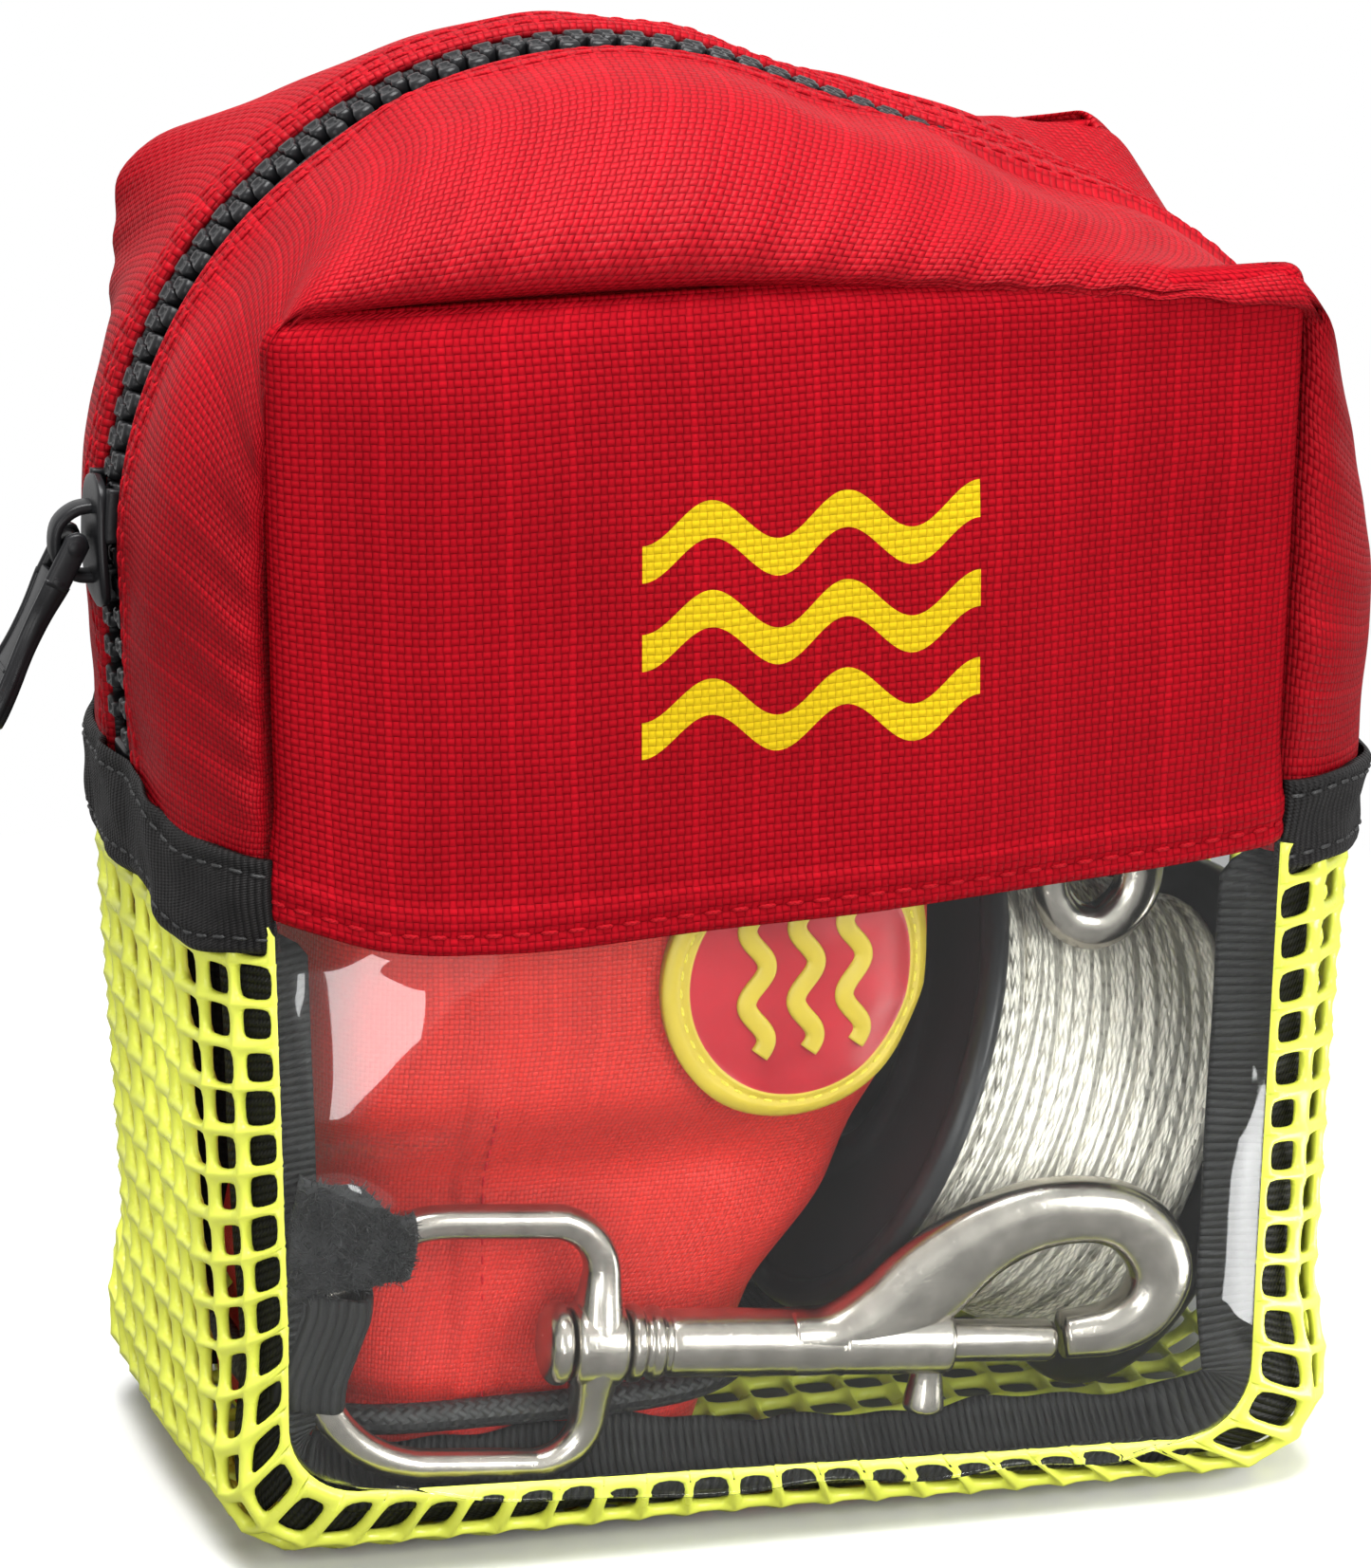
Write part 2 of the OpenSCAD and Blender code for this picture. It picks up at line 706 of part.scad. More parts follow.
module buoy_badge() {
  n = 10;
  g = steps(-1, 1, n);
  function at(a, b, off) =
    let (
      x = badge_p[0] + badge_r * a * sqrt(1 - b * b / 2),
      z = badge_p[1] + badge_r * b * sqrt(1 - a * a / 2)
    ) [x, buoy_y(x, z) - off, z];
  color([0.66, 0.1, 0.16])
    sheet([for (a = g) [for (b = g) at(a, b, 2.2)]], [for (a = g) [for (b = g) at(a, b, 0.6)]]);
}

module elastic_cord() {
  n = 56;
  m = 10;
  box = buoy_box(elastic_z);
  function middle(j) = concat(power_point(box, 360 * j / n, elastic_r + 0.4), elastic_z);
  function out(j) = let (d = middle(j + 1) - middle(j - 1)) unit([d[1], -d[0], 0]);
  points = [
    for (j = [0:n - 1], k = [0:m - 1])
      let (a = 360 * k / m) middle(j) + elastic_r * (cos(a) * out(j) + sin(a) * [0, 0, 1])
  ];
  faces = [
    for (j = [0:n - 1], k = [0:m - 1])
      let (j2 = (j + 1) % n, k2 = (k + 1) % m)
        each [[j * m + k, j2 * m + k2, j2 * m + k], [j * m + k, j * m + k2, j2 * m + k2]]
  ];
  color([0.06, 0.06, 0.06])
    polyhedron(points, faces);
}

// The finger spool and its wound line
module spool_place() {
  translate(spool_p)
    rotate([0, 0, spool_turn])
      rotate([0, spool_lean, 0])
        children();
}

module spool() {
  w = spool_w / 2;
  color([0.06, 0.06, 0.06])
    spool_place()
      difference() {
        union() {
          along_x(spool_r, -w, -w + flange_t);
          along_x(spool_r, w - flange_t, w);
          along_x(core_r, -w, w);
        }
        along_x(finger_r, -w - 1, w + 1);
      }
}

module line_pack() {
  w = spool_w / 2 - flange_t - skin;
  color([0.8, 0.79, 0.74])
    spool_place()
      difference() {
        along_x(pack_r, -w, w);
        along_x(core_r + fit, -w - 1, w + 1);
      }
}

// The double ended snap stands upright in front of the spool
module clip_place() {
  translate(clip_p)
    rotate([0, -90, 0])
      rotate([180, 0, 0])
        children();
}

module double_body() {
  color([0.74, 0.73, 0.71])
    clip_place()
      difference() {
        union() {
          along_x(clip_barrel, -clip_end, clip_end);
          hook(clip_end, clip_k);
          mirror([1, 0, 0])
            hook(clip_end, clip_k);
        }
        for (s = [0, 1])
          mirror([s, 0, 0]) {
            along_x(clip_gate + fit, 2, clip_end + (nose_from - 0.4) * clip_k);
            translate([clip_end - 11, -1.9, -5])
              cube([16, 3.8, 5]);
          }
      }
}

module double_gate() {
  color([0.76, 0.75, 0.73]) {
    along_x(clip_gate, clip_from, clip_end + (nose_from - 0.6) * clip_k);
    translate([clip_end - 2.4, 0, 0])
      thumb_pin(2.2, 1.6, 6.5);
  }
}

module double_gate_upper() {
  clip_place()
    double_gate();
}

module double_gate_lower() {
  clip_place()
    mirror([1, 0, 0])
      double_gate();
}

module double_spring_upper() {
  clip_place()
    gate_spring(clip_gate - 0.15, 2.2, clip_from - 0.2);
}

module double_spring_lower() {
  clip_place()
    mirror([1, 0, 0])
      gate_spring(clip_gate - 0.15, 2.2, clip_from - 0.2);
}

front_panel();
window();
back_panel();
gusset_front();
gusset_back();
binding_left();
binding_right();
mesh_left();
mesh_floor();
mesh_right();
seam_tape_front();
seam_tape_back();
zip_tape_front();
zip_tape_back();
teeth_front();
teeth_back();
zip_stop_left();
zip_stop_right();
slider();
pull_tab();
snap_eye();
snap_body();
snap_gate();
snap_spring();
strap_loop();
strap_tab();
buoy_roll();
buoy_badge();
elastic_cord();
spool();
line_pack();
double_body();
double_gate_upper();
double_gate_lower();
double_spring_upper();
double_spring_lower();
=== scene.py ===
"""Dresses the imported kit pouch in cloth, net, film, zip, steel and line, in the CAD frame.

Shapes are worked out in millimetres and put into metres when a mesh is made.
"""

import math
from types import SimpleNamespace

import bmesh
import bpy
import numpy as np
from mathutils import Matrix, Vector


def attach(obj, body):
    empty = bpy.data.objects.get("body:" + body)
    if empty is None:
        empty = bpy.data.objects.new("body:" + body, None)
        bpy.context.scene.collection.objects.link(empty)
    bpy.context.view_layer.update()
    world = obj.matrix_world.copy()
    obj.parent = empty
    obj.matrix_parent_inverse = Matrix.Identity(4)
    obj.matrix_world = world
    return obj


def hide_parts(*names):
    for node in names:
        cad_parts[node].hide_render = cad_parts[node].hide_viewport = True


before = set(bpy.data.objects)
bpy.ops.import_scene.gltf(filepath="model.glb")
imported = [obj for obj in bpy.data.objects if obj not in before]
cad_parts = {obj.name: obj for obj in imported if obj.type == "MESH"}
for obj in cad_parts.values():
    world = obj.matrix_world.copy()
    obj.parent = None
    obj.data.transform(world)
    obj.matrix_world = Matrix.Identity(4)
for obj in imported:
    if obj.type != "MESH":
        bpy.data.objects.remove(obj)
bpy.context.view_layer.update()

MM = 0.001
TAU = 2 * math.pi

# Sizes shared with the CAD part, in mm
HALF = 40.0  # middle plane to either seam
TOP_Z = 162.0  # height of the top seam
FOOT_LEFT, FOOT_RIGHT = 11.5, 7.0  # height of the foot seam at its two ends
TOP_W, FOOT_W = 133.0, 124.5  # width of the faces at the top and at the foot
TOP_R, FOOT_R = 5.0, 10.0  # corner radii of the seam
JOIN_Z = 88.0  # height of the join of cloth and net
BAND_H = 12.0  # height of the band over that join
GUSSET_LOW = 84.0  # lower edge of the gusset cloth, under the band
PANEL_W = 129.0  # middle width of the faces
SLOT = 5.8  # middle plane to the folded cloth beside the zip
BULGE = 4.0  # how far the faces bulge
CLOTH_T = 1.0  # thickness of the cloth
ZIP_R = 59.0  # radius of the zip's bend over the slider
TOOTH_PITCH = 3.9  # one tooth of a row to the next
SLIDER_PAST = math.radians(2)  # how far round that bend the slider is parked

X_AXIS, Y_AXIS, Z_AXIS = np.eye(3)
FACE_NAME = {-1: "front", 1: "back"}


def unit(v):
    """Vectors along the last axis, made one unit long."""
    return v / np.maximum(np.linalg.norm(v, axis=-1, keepdims=True), 1e-12)


def soft(t):
    """Smooth step from 0 to 1 as t goes from 0 to 1."""
    q = np.clip(t, 0.0, 1.0)
    return q * q * (3.0 - 2.0 * q)


def hump(x, middle, width):
    """Bell curve of height 1 at the middle."""
    return np.exp(-(((x - middle) / width) ** 2))


def squarish(q, power):
    """Signed power of a sine or cosine, which makes a round section squarer."""
    return np.sign(q) * np.abs(q) ** power


def in_xz(q):
    """Points (x, z) put into space at y = 0."""
    return np.stack([q[..., 0], 0 * q[..., 0], q[..., 1]], -1)


def turn_y(angle):
    """Matrix of a turn about the Y axis."""
    c, s = math.cos(angle), math.sin(angle)
    return np.array([[c, 0, s], [0, 1, 0], [-s, 0, c]])


def turn_z(angle):
    """Matrix of a turn about the Z axis."""
    c, s = math.cos(angle), math.sin(angle)
    return np.array([[c, -s, 0], [s, c, 0], [0, 0, 1]])


def ripple(x, y, wave, seed, count=7):
    """Uneven soft waves: a sum of sines of about one wavelength in seeded directions."""
    rng = np.random.default_rng(seed)
    turn, phase = rng.uniform(0, TAU, (2, count))
    length = wave * rng.uniform(0.7, 1.5, count)
    total = 0.0
    for a, b, w in zip(turn, phase, length):
        total = total + np.sin(TAU * (x * np.cos(a) + y * np.sin(a)) / w + b)
    return total / count**0.5


def through(x, xs, ys):
    """Smooth curve near the points (xs, ys): straight pieces, averaged over a short span."""
    span = np.linspace(-5, 5, 11)
    return np.interp(np.asarray(x)[..., None] + span, xs, ys).mean(-1)


def smooth_path(points, count):
    """Even steps along a curve that passes through all the points, as cubic pieces between them."""
    p = np.asarray(points, float)
    p = np.concatenate([[2 * p[0] - p[1]], p, [2 * p[-1] - p[-2]]])
    t = np.linspace(0, len(p) - 3 - 1e-9, 40 * len(p))
    k, f = t.astype(int), (t % 1)[:, None]
    a, b, c, d = p[k], p[k + 1], p[k + 2], p[k + 3]
    fine = 0.5 * (2 * b + (c - a) * f + (2 * a - 5 * b + 4 * c - d) * f**2 + (3 * b - a - 3 * c + d) * f**3)
    run = run_length(fine[:, :3])
    even = np.linspace(0, run[-1], count)
    return np.stack([np.interp(even, run, fine[:, i]) for i in range(p.shape[1])], -1)


def run_length(path):
    """Distance travelled along a row of points."""
    step = np.linalg.norm(np.diff(path, axis=0), axis=-1)
    return np.concatenate([[0.0], np.cumsum(step)])


def tangents(path, closed=False):
    """Unit steps along a row of points, each from its neighbours on both sides."""
    if closed:
        return unit(np.roll(path, -1, 0) - np.roll(path, 1, 0))
    return unit(np.gradient(path, axis=0))


def line_at(grid, measure, value):
    """The line on a grid along which a measure, rising along each row, has the value."""
    rows = range(len(grid))
    return np.stack([[np.interp(value, measure[i], grid[i, :, c]) for i in rows] for c in range(3)], -1)


class Loop:
    """Four-sided loop with rounded corners in XZ, walked clockwise from the lower left.

    A side runs from the middle of one corner's arc to the middle of the next one's. A corner has its arc's
    centre, radius, start, end, angle at the start, and turn from there.
    """

    def __init__(self, corners, radii):
        pts = [np.array(p, float) for p in corners]
        self.corners = []
        for k in range(4):
            back, here, on = pts[k - 1], pts[k], pts[(k + 1) % 4]
            d1, d2 = unit(back - here), unit(on - here)
            half = math.acos(d1 @ d2) / 2
            centre = here + unit(d1 + d2) * radii[k] / math.sin(half)
            reach = radii[k] / math.tan(half)
            start, end = here + d1 * reach, here + d2 * reach
            corner = SimpleNamespace(centre=centre, radius=radii[k], start=start, end=end)
            corner.angle = math.atan2(*(start - centre)[::-1])
            corner.turn = 2 * half - math.pi
            self.corners.append(corner)

    def ends(self, side):
        """The corners at a side's two ends."""
        return self.corners[side], self.corners[(side + 1) % 4]

    def parts(self, side):
        """Lengths of a side's first half arc, straight and last half arc."""
        a, b = self.ends(side)
        straight = float(np.linalg.norm(b.start - a.end))
        return a.radius * abs(a.turn) / 2, straight, b.radius * abs(b.turn) / 2

    def length(self, side):
        """Length of a side."""
        return sum(self.parts(side))

    def at(self, side, d):
        """Points and outward normals at the distances d along a side."""
        a, b = self.ends(side)
        first, straight, last = self.parts(side)
        d = np.asarray(d, float)
        early = d < first + straight / 2
        turn_a = a.angle + a.turn / 2 * (1 + np.clip(d / first, 0, 1))
        turn_b = b.angle + b.turn / 2 * np.clip((d - first - straight) / last, 0, 1)
        turn = np.where(early, turn_a, turn_b)
        out = np.stack([np.cos(turn), np.sin(turn)], -1)
        on_arc = np.where(early[..., None], a.centre + a.radius * out, b.centre + b.radius * out)
        on_line = a.end + unit(b.start - a.end) * (d - first)[..., None]
        flat = (d > first) & (d < first + straight)
        return np.where(flat[..., None], on_line, on_arc), out

    def at_z(self, side, z):
        """Distance along a side at which its straight part reaches the height z."""
        a, b = self.ends(side)
        return self.parts(side)[0] + (z - a.end[1]) / unit(b.start - a.end)[1]


SEAM = Loop(
    [(-FOOT_W / 2, FOOT_LEFT), (-TOP_W / 2, TOP_Z), (TOP_W / 2, TOP_Z), (FOOT_W / 2, FOOT_RIGHT)],
    [FOOT_R, TOP_R, TOP_R, FOOT_R],
)
# The pouch is widest half way between its seams, where it carries the zip
BELLY = Loop([(-69, 0), (-80, 214.5), (83.5, 147.5), (75, 0)], [12, ZIP_R, 52, 12])


def seam_share(side, z):
    """Share of a seam side at which it reaches the height z."""
    return SEAM.at_z(side, z) / SEAM.length(side)


def belly_share(side, t):
    """Share of the belly's side for share t of the seam's: both reach the join's height together."""
    if side % 2:
        return t
    a, b = seam_share(side, JOIN_Z), BELLY.at_z(side, JOIN_Z) / BELLY.length(side)
    return np.where(t < a, t * b / a, b + (t - a) * (1 - b) / (1 - a))


def swell(side, t, v):
    """How far the skin has gone from seam (0) to belly (1), with a soft shoulder; squarer at the floor."""
    low = {0: soft(1 - t / 0.14), 1: 0 * t, 2: soft(1 - (1 - t) / 0.14), 3: 1 + 0 * t}[side]
    power = np.where(v < 0, 4.0, 2.2)
    power = power + (9.0 - power) * low
    x = 1 - 1.08 * (1 - np.abs(v) ** power)
    return (1 - 0.5 * (x + np.sqrt(x * x + 0.01))) / 0.976


def skin(s, v):
    """Pouch skin: seam point and belly point at the same place s of the walk, mixed by the swell at v."""
    s, v = np.broadcast_arrays(np.asarray(s, float) % 4.0, np.asarray(v, float))
    out = np.zeros(s.shape + (3,))
    for side in range(4):
        m = np.floor(s) == side
        if m.any():
            t = s[m] - side
            a = SEAM.at(side, t * SEAM.length(side))[0]
            b = BELLY.at(side, belly_share(side, t) * BELLY.length(side))[0]
            q = a + (b - a) * swell(side, t, v[m])[:, None]
            out[m] = np.stack([q[:, 0], v[m] * HALF, q[:, 1]], -1)
    return out


def on_skin(s, v, lift=0.0):
    """Skin point moved by lift along the skin's outward normal."""
    e = 2e-3
    across = skin(s, v + e) - skin(s, v - e)
    along = skin(s + e, v) - skin(s - e, v)
    return skin(s, v) + unit(np.cross(along, across)) * np.asarray(lift)[..., None]


def face(a, z, out, sign):
    """Front (sign -1) or back (sign 1) face: as wide as the seam loop at z, bulging most in the middle."""
    foot = FOOT_LEFT + (FOOT_RIGHT - FOOT_LEFT) * a
    q = (z - foot) / (TOP_Z - foot)
    near_foot = np.clip(FOOT_R - q * (TOP_Z - FOOT_LEFT), 0, FOOT_R)
    near_top = np.clip(TOP_R - (TOP_Z - z), 0, TOP_R)
    inset = FOOT_R - np.sqrt(FOOT_R**2 - near_foot**2) + TOP_R - np.sqrt(TOP_R**2 - near_top**2)
    wide = FOOT_W / 2 + (TOP_W - FOOT_W) / 2 * q - inset
    side_fall = 1 - np.abs(2 * a - 1) ** 2.5
    end_fall = 1 - np.minimum(np.abs(2 * q - 1), 1.05) ** 2.5
    deep = HALF + out + BULGE * side_fall * end_fall
    return np.stack([wide * (2 * a - 1), sign * deep, z + 0 * wide], -1)


def grid_normals(grid):
    """Unit normals of a grid of points, from its steps along rows and columns."""
    return unit(np.cross(np.gradient(grid, axis=0), np.gradient(grid, axis=1)))


def cloth_map(grid):
    """Map of a grid in mm: the distance along its middle row and along its middle column."""
    n, m = grid.shape[:2]
    u, v = run_length(grid[:, m // 2]), run_length(grid[n // 2])
    return np.stack(np.broadcast_arrays(u[:, None], v[None, :]), -1)


# Mesh makers: each gives (points, faces, map, material number)
def grid_faces(n, m, wrap_n=False, wrap_m=False):
    """Quads of an n by m grid of points numbered row by row."""
    i = np.arange(n if wrap_n else n - 1)[:, None]
    j = np.arange(m if wrap_m else m - 1)[None, :]
    i2, j2 = (i + 1) % n, (j + 1) % m
    return np.stack(np.broadcast_arrays(i * m + j, i * m + j2, i2 * m + j2, i2 * m + j), -1).reshape(-1, 4)


def slab(outer, inner, uv=None, mat_inner=0):
    """Closed sheet between two grids of the same size: both faces and the four edge strips."""
    n, m = outer.shape[:2]
    k = n * m
    uv = cloth_map(outer) if uv is None else uv
    there = np.arange(m - 1), np.arange(n - 1) * m + m - 1
    home = np.arange(k - 1, k - m, -1), np.arange(n - 1, 0, -1) * m
    rim = np.concatenate(there + home)
    on = np.roll(rim, -1)
    faces = grid_faces(n, m)
    edge = np.stack([rim, on, on + k, rim + k], -1)
    pts = np.concatenate([outer.reshape(-1, 3), inner.reshape(-1, 3)])
    both = np.concatenate([uv.reshape(-1, 2)] * 2)
    number = np.zeros(2 * len(faces) + len(edge), int)
    number[len(faces):2 * len(faces)] = mat_inner
    return pts, np.concatenate([faces, faces[:, ::-1] + k, edge]), both, number


def loft(path, across, up, half_a, half_b, sides=16, power=2.0, closed=False, mat=0):
    """Rounded section carried along a path: half_a along across, half_b along up, ends drawn to a point."""
    path = np.asarray(path, float)
    n = len(path)
    t = np.arange(sides) / sides * TAU
    c, s = squarish(np.cos(t), 2 / power), squarish(np.sin(t), 2 / power)
    rings = path[:, None, :]
    for half, way, wave in ((half_a, across, c), (half_b, up, s)):
        reach = (np.zeros(n) + half)[:, None, None] * np.broadcast_to(way, (n, 3))[:, None, :]
        rings = rings + reach * wave[None, :, None]
    run = run_length(path)
    if not closed:
        tips = [np.repeat(tip[:, None], sides, 1) for tip in (path[:1], path[-1:])]
        rings = np.concatenate([tips[0], rings, tips[1]])
        run = np.concatenate([run[:1], run, run[-1:]])
    around = np.arange(sides) / sides
    uv = np.stack(np.broadcast_arrays(run[:, None], around[None, :]), -1)
    faces = grid_faces(len(rings), sides, wrap_n=closed, wrap_m=True)
    return rings.reshape(-1, 3), faces, uv.reshape(-1, 2), mat


def flat_loft(points, half_a, half_b, sides=16, power=2.0, closed=False, mat=0):
    """Section carried along a path in the XZ plane of its own frame: half_a in the plane, half_b along Y."""
    path = np.asarray(points, float)
    across = np.cross(tangents(path, closed), Y_AXIS)
    return loft(path, across, Y_AXIS, half_a, half_b, sides, power, closed, mat)


def lathe(profile, sides, closed=False):
    """Profile of (place along X, radius) turned about the X axis."""
    p = np.asarray(profile, float)
    t = np.arange(sides) / sides * TAU
    pts = np.stack(np.broadcast_arrays(p[:, :1], p[:, 1:] * np.cos(t), p[:, 1:] * np.sin(t)), -1)
    uv = np.stack(np.broadcast_arrays(run_length(p)[:, None], (t / TAU)[None, :]), -1)
    return pts.reshape(-1, 3), grid_faces(len(p), sides, wrap_n=closed, wrap_m=True), uv.reshape(-1, 2), 0


def rounded(profile, radius, steps=5):
    """Profile with each inner corner replaced by an arc of about the given radius."""
    p = np.asarray(profile, float)
    made = [p[:1]]
    for a, b, c in zip(p[:-2], p[1:-1], p[2:]):
        r = min(radius, 0.49 * np.linalg.norm(b - a), 0.49 * np.linalg.norm(c - b))
        t = np.linspace(0, 1, steps)[:, None]
        start, end = b + unit(a - b) * r, b + unit(c - b) * r
        made.append((1 - t) ** 2 * start + 2 * t * (1 - t) * b + t**2 * end)
    return np.concatenate(made + [p[-1:]])


def moved(part, matrix, at):
    """The part turned by a 3 by 3 matrix and set at a point."""
    return (np.asarray(part[0]) @ np.asarray(matrix).T + np.asarray(at),) + tuple(part[1:])


def copies(template, origin, axes, mat=0):
    """Many copies of a small template: its three coordinates go along each copy's own three axes."""
    pts, faces = template
    n, k = len(origin), len(pts)
    world = origin[:, None, :] + np.einsum("pc,ncx->npx", pts, axes)
    every = faces[None] + (np.arange(n) * k)[:, None, None]
    return world.reshape(-1, 3), every.reshape(-1, faces.shape[1]), np.tile(pts[:, :2], (n, 1)), mat


def stitch_template(length, radius):
    """A stitch: a short thread, thick in the middle, that dips into the cloth at both ends."""
    steps, sides = 7, 6
    t = np.linspace(-1, 1, steps)
    a = np.arange(sides) / sides * TAU
    r = radius * np.sqrt(np.maximum(0, 1 - t**4)) + 1e-4
    x = np.broadcast_to(t[:, None] * length / 2, (steps, sides))
    y = r[:, None] * np.cos(a)
    z = r[:, None] * np.sin(a) + radius * 0.6 * (1 - t[:, None] ** 2) - radius * 0.4
    return np.stack([x, y, z], -1).reshape(-1, 3), grid_faces(steps, sides, wrap_m=True)


def stitch_row(path, out, pitch, length, radius, mat=1):
    """Stitches at even steps along a path, each lying along it with its back outwards."""
    run = run_length(path)
    at = np.arange(pitch / 2, run[-1], pitch)
    probe = 0.3

    def pick(row, d):
        return np.stack([np.interp(d, run, row[:, i]) for i in range(3)], -1)

    up = unit(pick(np.broadcast_to(out, path.shape), at))
    along = unit(pick(path, at + probe) - pick(path, at - probe))
    axes = np.stack([along, unit(np.cross(up, along)), up], 1)
    return copies(stitch_template(length, radius), pick(path, at), axes, mat)


def piece(name, parts, mats, body, replaces=()):
    """One object made of parts in mm, with doubles merged and faces turned outwards, riding on a body."""
    points, corners, starts, maps, numbers = [], [], [], [], []
    base = used = 0
    for pts, faces, uv, mat in parts:
        points.append(np.asarray(pts, float) * MM)
        corners.append((faces + base).ravel())
        starts.append(used + np.arange(len(faces)) * faces.shape[1])
        maps.append(np.asarray(uv)[faces.ravel()])
        numbers.append(np.zeros(len(faces), int) + mat)
        base += len(pts)
        used += faces.size
    mesh = bpy.data.meshes.new(name)
    points = np.concatenate(points)
    corners, starts = np.concatenate(corners), np.concatenate(starts)
    mesh.vertices.add(len(points))
    mesh.vertices.foreach_set("co", points.astype(np.float32).ravel())
    mesh.loops.add(len(corners))
    mesh.loops.foreach_set("vertex_index", corners.astype(np.int32))
    mesh.polygons.add(len(starts))
    mesh.polygons.foreach_set("loop_start", starts.astype(np.int32))
    mesh.polygons.foreach_set("material_index", np.concatenate(numbers).astype(np.int32))
    mesh.uv_layers.new(name="cloth").data.foreach_set("uv", np.concatenate(maps).astype(np.float32).ravel())
    mesh.update(calc_edges=True)
    work = bmesh.new()
    work.from_mesh(mesh)
    bmesh.ops.remove_doubles(work, verts=work.verts, dist=2e-6)
    bmesh.ops.dissolve_degenerate(work, edges=work.edges, dist=1e-7)
    bmesh.ops.recalc_face_normals(work, faces=work.faces)
    work.to_mesh(mesh)
    work.free()
    mesh.polygons.foreach_set("use_smooth", np.ones(len(mesh.polygons), bool))
    for m in mats if isinstance(mats, (list, tuple)) else [mats]:
        mesh.materials.append(m)
    obj = bpy.data.objects.new(name, mesh)
    bpy.context.scene.collection.objects.link(obj)
    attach(obj, body)
    if replaces:
        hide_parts(*replaces)
    return obj


# Node groups and materials
def feed(tree, socket, value):
    """Gives a socket its value: links another socket, or sets a plain number, vector or colour."""
    if isinstance(value, bpy.types.NodeSocket):
        tree.links.new(value, socket)
    else:
        socket.default_value = value


def add(tree, kind, **inputs):
    """Adds a node and feeds its named inputs."""
    node = tree.nodes.new(kind)
    for key, value in inputs.items():
        feed(tree, node.inputs[key], value)
    return node


def mix_shaders(tree, factor, first, second):
    """A Mix Shader node: the first shader where the factor is 0, the second where it is 1."""
    node = tree.nodes.new("ShaderNodeMixShader")
    for socket, source in zip(node.inputs, (factor, first.outputs[0], second.outputs[0])):
        tree.links.new(source, socket)
    return node


def calc(tree, what, a, b=0.0, c=0.0):
    """A Math node's result."""
    node = tree.nodes.new("ShaderNodeMath")
    node.operation = what
    for socket, value in zip(node.inputs, (a, b, c)):
        feed(tree, socket, value)
    return node.outputs[0]


def ramp(tree, value, stops):
    """A colour ramp's colour; stops are (place, grey or colour)."""
    node = tree.nodes.new("ShaderNodeValToRGB")
    tree.links.new(value, node.inputs[0])
    while len(node.color_ramp.elements) < len(stops):
        node.color_ramp.elements.new(0.5)
    for element, (place, colour) in zip(node.color_ramp.elements, stops):
        element.position = place
        element.color = (colour,) * 3 + (1,) if isinstance(colour, float) else tuple(colour) + (1,)
    return node.outputs[0]


def blend_colour(tree, factor, a, b, mode="MIX"):
    """A colour Mix node's result."""
    node = tree.nodes.new("ShaderNodeMix")
    node.data_type = "RGBA"
    node.blend_type = mode
    for number, value in ((0, factor), (6, a), (7, b)):
        feed(tree, node.inputs[number], value + (1,) if isinstance(value, tuple) else value)
    return node.outputs[2]


def group(name, inputs, outputs):
    """An empty shader node group: an input without a default is a vector, every other socket a number."""
    tree = bpy.data.node_groups.new(name, "ShaderNodeTree")
    for key, value in inputs.items():
        kind = "NodeSocketVector" if value is None else "NodeSocketFloat"
        socket = tree.interface.new_socket(key, in_out="INPUT", socket_type=kind)
        if value is not None:
            socket.default_value = value
    for key in outputs:
        tree.interface.new_socket(key, in_out="OUTPUT", socket_type="NodeSocketFloat")
    return tree, tree.nodes.new("NodeGroupInput").outputs, tree.nodes.new("NodeGroupOutput").inputs


def arches(tree, u):
    """Row of round arches, one for each unit of u: the size of a sine."""
    return calc(tree, "ABSOLUTE", calc(tree, "SINE", calc(tree, "MULTIPLY", u, math.pi)))


def either(tree, choice, a, b):
    """The value a where the choice is 1 and b where it is 0."""
    rest = calc(tree, "MULTIPLY", b, calc(tree, "SUBTRACT", 1.0, choice))
    return calc(tree, "ADD", calc(tree, "MULTIPLY", a, choice), rest)


# Multiple of eight that is added to the number of a yarn or strand before a remainder is taken
KEEP_POSITIVE = 40000.0


